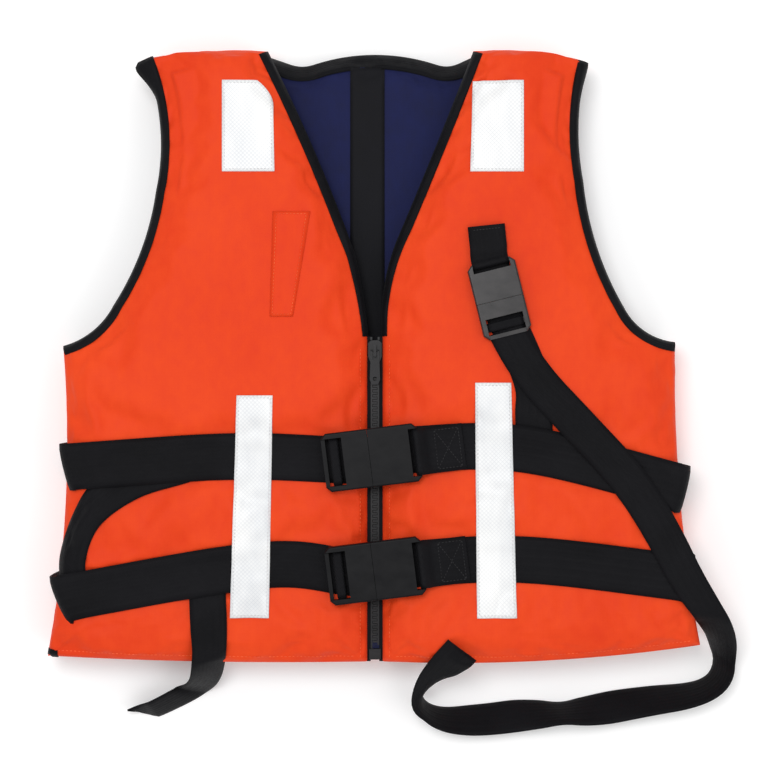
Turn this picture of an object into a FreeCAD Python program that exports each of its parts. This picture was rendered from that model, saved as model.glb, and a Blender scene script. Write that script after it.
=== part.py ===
"""Foam life jacket (buoyancy vest) lying flat on its back, zip closed and buckles locked.

Millimetres. +Z points up from the surface that the vest lies on, +Y towards the
collar and +X towards the wearer's left side. The origin is under the middle of the vest.
"""
import FreeCAD
import Part
import math
import os

from FreeCAD import Vector

# ---- overall sizes ----
BACK_THICK = 34.0          # back panel, from the floor up
TORSO_GAP = 16.0           # room between the back panel and the front panels
FRONT_THICK = 34.0         # front panels
HEM_Y = -317.0
FABRIC = 3.0               # wall allowed for shell, lining and their seams
FOAM_GAP = 0.3             # clearance round each foam sheet
SEAM_FLANGE = 2.0          # thickness of one seam allowance
BINDING_WIDTH = 10.0
BINDING_THICK = 1.0
STEP_INSET = 10.0          # each outer foam sheet is cut this much smaller
CUSHION_INSET = 15.0       # seam line to the start of the cushion
FOAM_STEP_Z = 1.0          # height of the step between the foam sheets, from the seam
STRIP_THICK = 0.8          # strip down the middle of the lining
POCKET_THICK = 2.0
REFLECTIVE_THICK = 1.0

BACK_SEAM_Z = BACK_THICK / 2
FRONT_Z0 = BACK_THICK + TORSO_GAP
FRONT_TOP = FRONT_Z0 + FRONT_THICK
FRONT_SEAM_Z = FRONT_Z0 + FRONT_THICK / 2

# ---- webbing ----
WEB_THICK = 1.8
BELT_WIDTH = 48.0
STRAP_WIDTH = 38.0
STRAP_LIFT = 0.1           # a strap lies this much above what it crosses
ARC_STEP_DEG = 12.0        # facets of a webbing bend
BEND_SHARE = 0.45          # share of the shorter run that a bend may use

# ---- zip ----
ZIP_TOP_Y = 8.0
ZIP_BOTTOM_Y = -300.0
TOOTH_PITCH = 5.0
TOOTH_LONG = 2.0
TOOTH_REACH = 2.2          # a tooth passes the middle line by this much
BEAD_IN = 2.6              # bead on the tape's edge, from the middle line
BEAD_OUT = 4.4
TAPE_OUT = 22.0            # outer edge of the tape, from the middle line
TAPE_EXTRA = 12.0          # tape above the top tooth
TEETH_LOW = FRONT_SEAM_Z - 4.5
TEETH_HIGH = FRONT_SEAM_Z - 0.5
TAPE_HIGH = FRONT_SEAM_Z - SEAM_FLANGE
TAPE_LOW = TAPE_HIGH - 1.0
SLIDER_HALF_WIDTH = 7.0
SLIDER_HALF_LENGTH = 11.0
SLIDER_Y = ZIP_TOP_Y - 3.0
SLIDER_PLATE = 1.6
SLIDER_GAP = 0.5
LIP_THICK = 1.5            # side lips of the slider
ARCH_HALF_WIDTH = 1.5      # arch that holds the pull
ARCH_HALF_LENGTH = 6.0
ARCH_HEIGHT = 5.0
ARCH_OPENING = 3.2
PULL_AXIS_Z = TEETH_HIGH + SLIDER_GAP + SLIDER_PLATE + 1.5
PULL_BAR_RADIUS = 1.1
PULL_HALF_WIDTH = 4.6
PULL_HALF_THICK = 1.0
PULL_LENGTH = 35.0
PULL_HOLE_RADIUS = 2.2
BOX_HALF_WIDTH = 6.0       # bottom box of the zip
BOX_WALL = 3.0
PIN_PLAY = 0.3

# ---- buckles: half lengths in webbing widths ----
SOCKET_LENGTH = 1.07
PLUG_LENGTH = 1.0
ARM_LENGTH = 0.62
PAD_START = 0.45           # share of the arm's reach where its press pad begins
BUCKLE_MARGIN = 12.0       # buckle width over webbing width
BUCKLE_WALL = 3.0
BUCKLE_PLAY = 0.4
BUCKLE_CORNER = 5.0        # cut off each outer corner
BUCKLE_ROUND = 1.8         # rounding along its length
SLOT_LENGTH = 5.5          # opening that webbing passes through
BAR_LENGTH = 4.0           # bar at either end of the buckle
PLUG_BAR = 6.0             # the plug's middle bar
PLUG_BAR_INSET = 3.6       # middle bar below the plug's faces
PLUG_END_INSET = 4.5       # end bar below the plug's top
PIVOT_X = 1.5              # root of a spring arm
PIVOT_INSET = 10.0         # root of a spring arm from the buckle's side
KNUCKLE_RADIUS = 2.0
ARM_HALF_WIDTH = 1.5
WAIST_BUCKLE_THICK = 13.0
CHEST_BUCKLE_THICK = 11.0
WAIST_BUCKLE_Z = FRONT_TOP + WEB_THICK + BUCKLE_PLAY
CHEST_BUCKLE_Z = FRONT_TOP + 2 * WEB_THICK + 2 * BUCKLE_PLAY

# ---- outlines of the seam line, one side at a time (x, y) ----
# left is the wearer's left, +X. The vest lies a little unevenly, so the sides differ.
LEFT = {
    "zip": (8, 20), "neck_turn": (13, 84), "neck_low": (24, 120), "neck_mid": (66, 221),
    "neck_top": (103, 315), "shoulder_mid": (160, 315), "shoulder": (219, 304),
    "arm_top_mid": (210, 240), "arm_top": (215, 180), "arm_mid": (231, 107),
    "arm_low": (257, 50), "underarm_mid": (280, 24), "underarm": (311, 13),
    "side_mid": (318, -165), "corner": (337, -300), "hem_mid": (180, -316), "hem": (8, HEM_Y),
}
RIGHT = {
    "zip": (-8, 20), "neck_turn": (-13, 62), "neck_low": (-22, 106), "neck_mid": (-60, 203),
    "neck_top": (-112, 315), "shoulder_mid": (-176, 315), "shoulder": (-238, 307),
    "arm_top_mid": (-221, 230), "arm_top": (-226, 170), "arm_mid": (-243, 105),
    "arm_low": (-270, 52), "underarm_mid": (-293, 24), "underarm": (-323, 9),
    "side_mid": (-321, -160), "corner": (-339, -311), "hem_mid": (-180, -317), "hem": (-8, HEM_Y),
}
COLLAR_DIP_Y = 303.0
COLLAR_DIP_X = 77.0
COLLAR_TOP_Y = 318.0
UNDERARM_TOP_Y = 40.0      # the panels are joined at the underarm up to here

# ---- webbing routes (x, y, z) of the middle of the strap ----
BELT_Z = FRONT_TOP + WEB_THICK / 2
OVER_Z = BELT_Z + WEB_THICK + STRAP_LIFT
FLOOR_Z = WEB_THICK / 2 + STRAP_LIFT
UPPER_SIDE_X = 325.0
LOWER_LEFT_X = 330.0
LOWER_RIGHT_X = -335.0

UPPER_BELT_LEFT = [(22, -98, BELT_Z), (150, -96, BELT_Z), (UPPER_SIDE_X, -138, BELT_Z)]
UPPER_BELT_RIGHT = [(-32, -108, BELT_Z), (-150, -104, BELT_Z), (-UPPER_SIDE_X, -115, BELT_Z)]
LOWER_BELT_LEFT = [(26, -216, BELT_Z), (150, -210, BELT_Z), (LOWER_LEFT_X, -230, BELT_Z)]
LOWER_BELT_RIGHT = [(-28, -224, BELT_Z), (-120, -216, BELT_Z), (LOWER_RIGHT_X, -252, BELT_Z)]

CHEST_TAIL = [(136, 28, BELT_Z), (161, -25, BELT_Z), (163, -60, BELT_Z), (164, -92, BELT_Z)]
# The long strap: chest buckle, over both belts, off the side, along the floor, up onto the hem.
LEG_STRAP_LEFT = [
    (134, 28, OVER_Z), (153, -12, OVER_Z), (209, -71, OVER_Z), (259, -124, OVER_Z),
    (294, -177, OVER_Z), (318, -226, OVER_Z), (344, -265, OVER_Z), (359, -289, 58),
    (367, -310, 20), (371, -329, 8), (362, -348, 10), (336, -360, 16), (288, -366, 12),
    (228, -377, 8), (165, -380, 12), (110, -387, 10), (66, -386, 16), (44, -368, 24),
    (53, -344, 46), (74, -320, 76), (90, -303, 87),
]
LEG_STRAP_LEFT_ROLL = [0, 0, 0, 0, 0, 0, 0, 8, 20, 42, 60, 66, 52, 38, 42, 42, 60, 78, 55, 25, 10]
LEG_STRAP_RIGHT = [
    (-196, -112, BELT_Z), (-252, -130, BELT_Z), (-297, -163, BELT_Z), (-316, -208, BELT_Z),
    (-313, -252, BELT_Z),
]
LEG_TAIL_RIGHT = [
    (-173, -228, BELT_Z), (-170, -290, 86.5), (-171, -317, 80.5), (-178, -340, 46),
    (-194, -354, 10), (-217, -366, FLOOR_Z), (-238, -376, FLOOR_Z), (-259, -384, FLOOR_Z),
]

TAB_BEHIND = 32.0          # chest tab behind the socket's end
TAB_UNDER = 14.0           # chest tab under the socket

# ---- places of the buckles: mouth centre, heading of the plug's way out ----
UPPER_BUCKLE = (-5.0, -105.0, 187.0)
LOWER_BUCKLE = (-1.0, -221.0, 187.0)
CHEST_BUCKLE = (127.8, 57.1, -76.0)

PARTS_FOLDER = "parts"


def save(shape, node):
    """Write one sub-part; stray slivers from the booleans are dropped first."""
    solids = [s for s in shape.Solids if s.Volume > 1.0]
    whole = solids[0] if len(solids) == 1 else Part.makeCompound(solids)
    whole.exportStep(os.path.join(PARTS_FOLDER, node + ".step"))


def join(pieces):
    """One solid from several pieces that touch."""
    result = pieces[0]
    for piece in pieces[1:]:
        result = result.fuse(piece)
    return result.removeSplitter()


def cut_all(shape, tools):
    for tool in tools:
        shape = shape.cut(tool)
    return shape


def block(x0, x1, y0, y1, z0, z1):
    return Part.makeBox(x1 - x0, y1 - y0, z1 - z0, Vector(x0, y0, z0))


def prism(points, z0, z1):
    """Straight-sided plate from a list of (x, y) corners."""
    wire = Part.makePolygon([Vector(x, y, z0) for x, y in points + points[:1]])
    return Part.Face(wire).extrude(Vector(0, 0, z1 - z0))


def raise_face(face, z0, z1):
    lifted = face.copy()
    lifted.translate(Vector(0, 0, z0))
    return lifted.extrude(Vector(0, 0, z1 - z0))


# ---------------------------------------------------------------- outlines
def line(a, b):
    return Part.LineSegment(Vector(*a), Vector(*b)).toShape()


def arc(a, middle, b):
    return Part.Arc(Vector(*a), Vector(*middle), Vector(*b)).toShape()


def side_edges(p):
    """Shoulder, armhole, side and hem of one side, from the neck down to the middle."""
    return [
        arc(p["neck_top"], p["shoulder_mid"], p["shoulder"]),
        arc(p["shoulder"], p["arm_top_mid"], p["arm_top"]),
        arc(p["arm_top"], p["arm_mid"], p["arm_low"]),
        arc(p["arm_low"], p["underarm_mid"], p["underarm"]),
        arc(p["underarm"], p["side_mid"], p["corner"]),
        arc(p["corner"], p["hem_mid"], p["hem"]),
    ]


def front_face(p):
    edges = side_edges(p) + [
        line(p["hem"], p["zip"]),
        arc(p["zip"], p["neck_turn"], p["neck_low"]),
        arc(p["neck_low"], p["neck_mid"], p["neck_top"]),
    ]
    return Part.Face(Part.Wire(Part.__sortEdges__(edges)))


def back_face():
    edges = side_edges(LEFT) + side_edges(RIGHT)
    edges.append(line(LEFT["hem"], RIGHT["hem"]))
    dip_left = (COLLAR_DIP_X, COLLAR_DIP_Y)
    dip_right = (-COLLAR_DIP_X, COLLAR_DIP_Y)
    edges.append(line(LEFT["neck_top"], dip_left))
    edges.append(arc(dip_left, (0, COLLAR_TOP_Y), dip_right))
    edges.append(line(dip_right, RIGHT["neck_top"]))
    return Part.Face(Part.Wire(Part.__sortEdges__(edges)))


def inset(face, distance):
    return face.makeOffset2D(-distance)


# ---------------------------------------------------------------- padded panels
def panel(face, seam_z, up):
    """Shell, lining and two foam sheets of one panel.

    up is +1 where the shell is on top (front) and -1 where it is below (back).
    """
    half = FRONT_THICK / 2
    wide = inset(face, CUSHION_INSET)
    narrow = inset(face, CUSHION_INSET + STEP_INSET)
    foam_wide = inset(face, CUSHION_INSET + FABRIC)
    foam_narrow = inset(face, CUSHION_INSET + STEP_INSET + FABRIC)
    flange_face = inset(face, BINDING_THICK)

    def slab(shape, a, b):
        low, high = sorted((seam_z + up * a, seam_z + up * b))
        return raise_face(shape, low, high)

    foam_low = -half + FABRIC
    foam_mid = FOAM_STEP_Z
    foam_high = half - FABRIC
    cavity = slab(foam_wide, foam_low, foam_mid + FOAM_GAP).fuse(
        slab(foam_narrow, foam_mid + FOAM_GAP, foam_high))
    shell = join([
        slab(flange_face, 0, SEAM_FLANGE),
        slab(wide, 0, foam_mid + FABRIC),
        slab(narrow, foam_mid, half),
    ]).cut(cavity)
    lining = slab(flange_face, -SEAM_FLANGE, 0).fuse(slab(wide, -half, 0)).cut(cavity)
    inner_face = inset(face, CUSHION_INSET + FABRIC + FOAM_GAP)
    outer_face = inset(face, CUSHION_INSET + STEP_INSET + FABRIC + FOAM_GAP)
    foam_inner = slab(inner_face, foam_low, foam_mid)
    foam_outer = slab(outer_face, foam_mid + FOAM_GAP, foam_high - FOAM_GAP)
    return shell, lining, foam_inner, foam_outer


def edge_channel(face, region, seam_z):
    """Binding folded round the seam allowance inside one region of the outline."""
    ring = face.cut(inset(face, BINDING_WIDTH))
    inner = inset(face, BINDING_THICK)
    reach = SEAM_FLANGE + BINDING_THICK
    solid = raise_face(ring, seam_z - reach, seam_z + reach)
    solid = solid.cut(raise_face(inner, seam_z - SEAM_FLANGE, seam_z + SEAM_FLANGE))
    return solid.common(region)


def edge_wall(face, region, thickness):
    """Fabric that closes the edge between the back panel and a front panel."""
    ring = face.cut(inset(face, thickness))
    wall = raise_face(ring, BACK_SEAM_Z + SEAM_FLANGE, FRONT_SEAM_Z - SEAM_FLANGE)
    return wall.common(region)


# ---------------------------------------------------------------- webbing
def webbing_path(points):
    """Straight runs joined by tangent arcs, as stations (point, direction, share of route)."""
    route = [Vector(*p) for p in points]
    stations = [(route[0], (route[1] - route[0]).normalize(), 0.0)]
    radii = []
    for i in range(1, len(route) - 1):
        before = route[i] - route[i - 1]
        after = route[i + 1] - route[i]
        turn = before.getAngle(after)
        shorter = min(before.Length, after.Length)
        reach = BEND_SHARE * shorter
        radii.append(reach / math.tan(turn / 2))
        start = route[i] - before.normalize() * reach
        end = route[i] + after.normalize() * reach
        bend = Part.Arc(start, bend_middle(route[i], start, end, turn), end).toShape()
        count = max(2, int(math.ceil(math.degrees(turn) / ARC_STEP_DEG)) + 1)
        for k in range(count):
            share = k / (count - 1)
            parameter = bend.FirstParameter + share * (bend.LastParameter - bend.FirstParameter)
            place = i - BEND_SHARE + 2 * BEND_SHARE * share
            stations.append((bend.valueAt(parameter), bend.tangentAt(parameter), place))
    last = (route[-1] - route[-2]).normalize()
    stations.append((route[-1], last, float(len(route) - 1)))
    return stations, radii


def bend_middle(corner, start, end, turn):
    """Middle point of the arc that is tangent to both runs at a corner."""
    chord_middle = (start + end) * 0.5
    inward = chord_middle - corner
    reach = (start - corner).Length
    radius = reach / math.tan(turn / 2)
    centre_distance = radius / math.cos(turn / 2)
    return corner + inward.normalize() * (centre_distance - radius)


def webbing(points, width, roll=None, point_end=False):
    """Flat webbing along a route; roll in degrees leans its width off the horizontal."""
    stations, _ = webbing_path(points)
    up = Vector(0, 0, 1)
    sections = []
    for place, direction, share in stations:
        level = up.cross(direction).normalize()
        normal = direction.cross(level).normalize()
        angle = 0.0
        if roll:
            low = min(int(share), len(roll) - 2)
            angle = math.radians(roll[low] + (roll[low + 1] - roll[low]) * (share - low))
        across = level * math.cos(angle) + normal * math.sin(angle)
        thick = direction.cross(across).normalize() * (WEB_THICK / 2)
        side = across * (width / 2)
        centre = Vector(place)
        lowest = centre.z - abs(side.z) - abs(thick.z)
        if lowest < STRAP_LIFT:
            centre.z += STRAP_LIFT - lowest
        corners = [centre + side + thick, centre - side + thick, centre - side - thick,
                   centre + side - thick]
        sections.append(Part.makePolygon(corners + corners[:1]))
    return Part.makeLoft(sections, True, True)


def belt(left, right):
    """Waist belt: two front runs, two side runs and the run under the back."""
    runs = [webbing(left, BELT_WIDTH), webbing(right, BELT_WIDTH)]
    for end_x, end_y, _ in (left[-1], right[-1]):
        outer = math.copysign(WEB_THICK, end_x)
        x0, x1 = sorted((end_x, end_x + outer))
        runs.append(block(x0, x1, end_y - BELT_WIDTH / 2, end_y + BELT_WIDTH / 2,
                          0, FRONT_TOP + WEB_THICK))
    runs.append(back_run(left, right, BELT_WIDTH, WEB_THICK))
    return join(runs)


def back_run(left, right, width, thick):
    (x1, y1, _), (x0, y0, _) = left[-1], right[-1]
    half = width / 2
    return prism([(x0, y0 - half), (x1, y1 - half), (x1, y1 + half), (x0, y0 + half)], 0, thick)


# ---------------------------------------------------------------- buckles
class Buckle:
    """Side release buckle in its own frame: +X is the plug's way out, mouth at X = 0."""

    def __init__(self, web, thick, place, bottom):
        self.web = web
        self.thick = thick
        self.place = place
        self.bottom = bottom
        self.half = (web + BUCKLE_MARGIN) / 2
        self.socket_end = -SOCKET_LENGTH * web
        self.plug_end = PLUG_LENGTH * web
        self.arm_reach = ARM_LENGTH * web
        self.pivot_x = PIVOT_X
        self.pivot_y = self.half - PIVOT_INSET
        self.slot_half = web / 2 + 0.5

    def put(self, shape):
        x, y, heading = self.place
        shape = shape.copy()
        shape.rotate(Vector(0, 0, 0), Vector(0, 0, 1), heading)
        shape.translate(Vector(x, y, self.bottom))
        return shape

    def body_blank(self, near, far):
        """Plate from near to far, corners cut at the far end, long edges rounded a little."""
        cut = BUCKLE_CORNER
        h = self.half
        toward = math.copysign(cut, near - far)
        outline = [(near, -h), (near, h), (far + toward, h), (far, h - cut),
                   (far, -h + cut), (far + toward, -h)]
        blank = prism(outline, 0, self.thick)
        long_edges = [e for e in blank.Edges
                      if abs(e.BoundBox.ZLength) < 1e-6 and abs(e.BoundBox.XLength) > 1e-6]
        return blank.makeFillet(BUCKLE_ROUND, long_edges)

    def opening(self, x0, x1, z0, z1):
        """Block across the width that webbing needs."""
        return block(x0, x1, -self.slot_half, self.slot_half, z0, z1)

    def socket(self):
        """Hollow half with side windows for the latches and a bar at its closed end."""
        end = self.socket_end
        h = self.half
        low = BUCKLE_WALL
        high = self.thick - BUCKLE_WALL
        above = self.thick + 1
        body = self.body_blank(0, end)
        cavity = block(end + 0.27 * self.web, 1, -h + BUCKLE_WALL, h - BUCKLE_WALL, low, high)
        slot = self.opening(end + BAR_LENGTH, end + BAR_LENGTH + SLOT_LENGTH, -1, above)
        window_x0 = -self.arm_reach - BUCKLE_PLAY
        window_x1 = -PAD_START * self.arm_reach
        windows = [block(window_x0, window_x1, s * h - 2 * BUCKLE_WALL, s * h + 2 * BUCKLE_WALL,
                         low, high) for s in (-1, 1)]
        bar_trim = [self.opening(end - 1, end + BAR_LENGTH + 0.5, a, b)
                    for a, b in ((-1, low), (high, above))]
        return self.put(cut_all(body, [cavity, slot] + windows + bar_trim))

    def middle_bar(self):
        """Start and end of the plug's middle bar along X."""
        x1 = self.plug_end - BAR_LENGTH - SLOT_LENGTH
        return x1 - PLUG_BAR, x1

    def plug(self):
        """Plug with a guide tongue, seats for the latches and a ladder for the webbing."""
        end = self.plug_end
        above = self.thick + 1
        bar_x0, bar_x1 = self.middle_bar()
        low = BUCKLE_WALL - 0.2
        high = self.thick - low
        body = self.body_blank(BUCKLE_PLAY, end)
        ladder = [self.opening(bar_x0 - SLOT_LENGTH, bar_x0, -1, above),
                  self.opening(bar_x1, bar_x1 + SLOT_LENGTH, -1, above)]
        bar_trim = [self.opening(bar_x0 - 0.5, bar_x1 + 0.5, a, b)
                    for a, b in ((-1, PLUG_BAR_INSET), (self.thick - PLUG_BAR_INSET, above))]
        end_trim = self.opening(end - BAR_LENGTH - 0.5, end + 1, self.thick - PLUG_END_INSET, above)
        seats = []
        for s in (-1, 1):
            y = s * self.pivot_y
            round_seat = Part.makeCylinder(KNUCKLE_RADIUS + BUCKLE_PLAY, high - low,
                                           Vector(self.pivot_x, y, low))
            mouth = block(-1, self.pivot_x, y - KNUCKLE_RADIUS - 0.3, y + KNUCKLE_RADIUS + 0.3,
                          low, high)
            seats += [round_seat, mouth]
        tongue = block(-0.85 * self.arm_reach, BUCKLE_PLAY + 1, -3.5, 3.5,
                       BUCKLE_WALL + BUCKLE_PLAY, self.thick - BUCKLE_WALL - BUCKLE_PLAY)
        body = cut_all(body, ladder + bar_trim + [end_trim] + seats)
        return self.put(join([body, tongue]))

    def latch(self, s):
        """One spring arm: knuckle, beam, hook and the pad that fingers press."""
        low = BUCKLE_WALL + BUCKLE_PLAY
        high = self.thick - low
        tip = -self.arm_reach
        pad_in = -PAD_START * self.arm_reach - BUCKLE_PLAY
        flush = self.half - BUCKLE_PLAY
        knuckle = Part.makeCylinder(KNUCKLE_RADIUS, high - low,
                                    Vector(self.pivot_x, s * self.pivot_y, low))
        y0, y1 = sorted((s * (self.pivot_y - ARM_HALF_WIDTH), s * (self.pivot_y + ARM_HALF_WIDTH)))
        beam = block(tip, self.pivot_x, y0, y1, low, high)
        pad_outline = [(tip, s * self.pivot_y), (tip, s * (self.half - 2.5)),
                       (0.8 * tip, s * flush), (pad_in, s * flush), (pad_in, s * self.pivot_y)]
        return self.put(join([knuckle, beam, prism(pad_outline, low, high)]))

    def fold(self, x0, x1, z0, z1):
        """Webbing wrapped round a bar that lies between x0 and x1, z0 and z1."""
        t = WEB_THICK
        half = self.web / 2
        outer = block(x0 - t, x1 + t, -half, half, z0 - t, z1 + t)
        return outer.cut(block(x0, x1, -half - 1, half + 1, z0, z1))

    def plug_fold(self):
        bar_x0, bar_x1 = self.middle_bar()
        return self.put(self.fold(bar_x0, bar_x1, PLUG_BAR_INSET, self.thick - PLUG_BAR_INSET))

    def socket_fold(self):
        """Sewn loop round the socket's bar, with its foot down on the webbing below."""
        end = self.socket_end
        ring = self.fold(end, end + BAR_LENGTH, BUCKLE_WALL, self.thick - BUCKLE_WALL)
        base = FRONT_TOP + WEB_THICK - self.bottom
        foot = block(end - WEB_THICK, end, -self.web / 2, self.web / 2, base,
                     BUCKLE_WALL + WEB_THICK)
        return self.put(join([ring, foot]))


# ---------------------------------------------------------------- zip
def zip_teeth(side):
    """Tooth row of one side: a bead on the tape's edge with a tooth each pitch."""
    start = ZIP_BOTTOM_Y + (TOOTH_PITCH / 2 if side < 0 else 0)
    points = [(BEAD_OUT, ZIP_BOTTOM_Y), (BEAD_IN, ZIP_BOTTOM_Y)]
    y = start + TOOTH_PITCH / 2
    while y + TOOTH_LONG < ZIP_TOP_Y:
        points += [(BEAD_IN, y), (-TOOTH_REACH, y), (-TOOTH_REACH, y + TOOTH_LONG),
                   (BEAD_IN, y + TOOTH_LONG)]
        y += TOOTH_PITCH
    points += [(BEAD_IN, ZIP_TOP_Y), (BEAD_OUT, ZIP_TOP_Y)]
    return prism([(side * x, y) for x, y in points], TEETH_LOW, TEETH_HIGH)


def zip_tape(side):
    x0, x1 = sorted((side * BEAD_OUT, side * TAPE_OUT))
    return block(x0, x1, HEM_Y, ZIP_TOP_Y + TAPE_EXTRA, TAPE_LOW, TAPE_HIGH)


def zip_slider():
    """Two plates joined by a wedge post, side lips and the arch that holds the pull."""
    w = SLIDER_HALF_WIDTH
    y0 = SLIDER_Y - SLIDER_HALF_LENGTH
    y1 = SLIDER_Y + SLIDER_HALF_LENGTH
    lip_y0 = y0 + 5
    lip_y1 = y1 - 3
    outline = [(-w + 2, y0), (w - 2, y0), (w, lip_y0), (w, lip_y1), (w - 3, y1),
               (-w + 3, y1), (-w, lip_y1), (-w, lip_y0)]
    bottom = prism(outline, TEETH_LOW - SLIDER_GAP - SLIDER_PLATE, TEETH_LOW - SLIDER_GAP)
    plate_z = TEETH_HIGH + SLIDER_GAP
    top = prism(outline, plate_z, plate_z + SLIDER_PLATE)
    post = prism([(0, ZIP_TOP_Y + 0.5), (2, ZIP_TOP_Y + 4), (2, y1 - 1), (-2, y1 - 1),
                  (-2, ZIP_TOP_Y + 4)], TEETH_LOW - SLIDER_GAP, plate_z)
    lips = []
    for s in (-1, 1):
        x0, x1 = sorted((s * (w - LIP_THICK), s * w))
        lips.append(block(x0, x1, lip_y0, lip_y1, TAPE_HIGH + SLIDER_GAP, plate_z))
        lips.append(block(x0, x1, lip_y0, lip_y1, TEETH_LOW - SLIDER_GAP, TAPE_LOW - SLIDER_GAP))
    arch_z = plate_z + SLIDER_PLATE
    arch = block(-ARCH_HALF_WIDTH, ARCH_HALF_WIDTH, SLIDER_Y - ARCH_HALF_LENGTH,
                 SLIDER_Y + ARCH_HALF_LENGTH, arch_z, arch_z + ARCH_HEIGHT)
    opening = block(-ARCH_HALF_WIDTH - 1, ARCH_HALF_WIDTH + 1, SLIDER_Y - ARCH_HALF_LENGTH + 2,
                    SLIDER_Y + ARCH_HALF_LENGTH - 2, arch_z, arch_z + ARCH_OPENING)
    arch = arch.cut(opening)
    return join([bottom, top, post, arch] + lips)


def zip_pull():
    """Pull tab: crossbar under the slider's arch, two legs and a grip plate."""
    half = PULL_HALF_WIDTH
    leg_in = 2.4
    grip_y = SLIDER_Y - 9
    shoulder_y = SLIDER_Y - PULL_LENGTH + 5
    end_y = SLIDER_Y - PULL_LENGTH
    bar = Part.makeCylinder(PULL_BAR_RADIUS, 2 * half, Vector(-half, SLIDER_Y, PULL_AXIS_Z),
                            Vector(1, 0, 0))
    z0, z1 = PULL_AXIS_Z - PULL_HALF_THICK, PULL_AXIS_Z + PULL_HALF_THICK
    legs = [block(min(s * leg_in, s * half), max(s * leg_in, s * half), grip_y - 1, SLIDER_Y,
                  z0, z1) for s in (-1, 1)]
    grip = prism([(-half, grip_y), (half, grip_y), (half + 0.8, shoulder_y),
                  (half - 1.5, end_y), (-half + 1.5, end_y), (-half - 0.8, shoulder_y)], z0, z1)
    hole = Part.makeCylinder(PULL_HOLE_RADIUS, 6, Vector(0, shoulder_y + 1, z0 - 2))
    return join([bar, grip] + legs).cut(hole)


def zip_box_and_pin():
    """Box at the zip's lower end and the pin that drops into it."""
    y0 = HEM_Y + 2
    y1 = ZIP_BOTTOM_Y - 4
    pin_x0, pin_x1 = -BEAD_OUT, -BEAD_IN
    floor_y = y0 + BOX_WALL
    box = block(-BOX_HALF_WIDTH, BOX_HALF_WIDTH, y0, y1, TEETH_LOW - 1, TEETH_HIGH + 1)
    seat = block(pin_x0 - PIN_PLAY, pin_x1 + PIN_PLAY + 0.1, floor_y, y1 + 1,
                 TEETH_LOW + 1 - PIN_PLAY, TEETH_HIGH - 1 + PIN_PLAY)
    pin = block(pin_x0, pin_x1, floor_y + 0.5, ZIP_BOTTOM_Y, TEETH_LOW + 1, TEETH_HIGH - 1)
    return box.cut(seat), pin


# ---------------------------------------------------------------- assembly
def regions():
    """Boxes that pick out one stretch of the outline; each ends just inside its corners."""
    tall = (-5, 120)
    return {
        "arm_left": block(196, 345, 3, 297, *tall),
        "arm_right": block(-345, -196, 1, 295, *tall),
        "neck_left": block(0, 104, 20, 330, *tall),
        "neck_right": block(-113, 0, 20, 330, *tall),
        "collar": block(-111, 102, 280, 330, *tall),
        "side_left": block(290, 345, -306, 2, *tall),
        "side_right": block(-345, -290, -316, 0, *tall),
        "shoulder_left": block(104, 218, 298, 330, *tall),
        "shoulder_right": block(-239, -113, 296, 330, *tall),
    }


def make_panels(grooves):
    region = regions()
    back = back_face()
    shell, lining, inner, outer = panel(back, BACK_SEAM_Z, -1)
    save(cut_all(shell, grooves), "shell_back")
    save(lining, "lining_back")
    save(inner, "foam_back_inner")
    save(outer, "foam_back_outer")
    strip = block(-26, 10, HEM_Y + 25, 290, BACK_THICK, BACK_THICK + STRIP_THICK)
    save(strip, "lining_centre_strip")
    save(edge_channel(back, region["collar"], BACK_SEAM_Z), "collar_binding")
    for name, outline in (("left", LEFT), ("right", RIGHT)):
        face = front_face(outline)
        shell, lining, inner, outer = panel(face, FRONT_SEAM_Z, 1)
        save(shell, "shell_front_" + name)
        save(lining, "lining_front_" + name)
        save(inner, "foam_front_" + name + "_inner")
        save(outer, "foam_front_" + name + "_outer")
        save(edge_channel(face, region["neck_" + name], FRONT_SEAM_Z), "neck_binding_" + name)
        arm = region["arm_" + name]
        under = arm.common(block(-400, 400, 3, UNDERARM_TOP_Y, 0, 100))
        armhole = join([
            edge_channel(face, arm, FRONT_SEAM_Z),
            edge_channel(back, arm, BACK_SEAM_Z),
            edge_wall(back, under, 2 * BINDING_THICK),
        ])
        save(armhole, "armhole_binding_" + name)
        save(edge_wall(back, region["side_" + name], FABRIC), "side_gusset_" + name)
        save(edge_wall(back, region["shoulder_" + name], FABRIC + 1), "shoulder_" + name)


def make_reflectors(belts):
    """Two chest patches and two long strips that lie over the belts."""
    top = FRONT_TOP
    patch_top = top + REFLECTIVE_THICK
    patch_left = prism([(98, 283), (153, 283), (153, 189), (98, 189)], top, patch_top)
    patch_right = prism([(-157, 283), (-119, 283), (-105, 262), (-103, 189), (-157, 189)],
                        top, patch_top)
    save(patch_left, "reflective_patch_left")
    save(patch_right, "reflective_patch_right")
    over = top + WEB_THICK + REFLECTIVE_THICK
    strip_left = prism([(103, -28), (140, -28), (146, -270), (105, -270)], top, over)
    strip_right = prism([(-142, -41), (-105, -41), (-109, -270), (-149, -270)], top, over)
    save(cut_all(strip_left, belts), "reflective_strip_left")
    save(cut_all(strip_right, belts), "reflective_strip_right")


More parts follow.
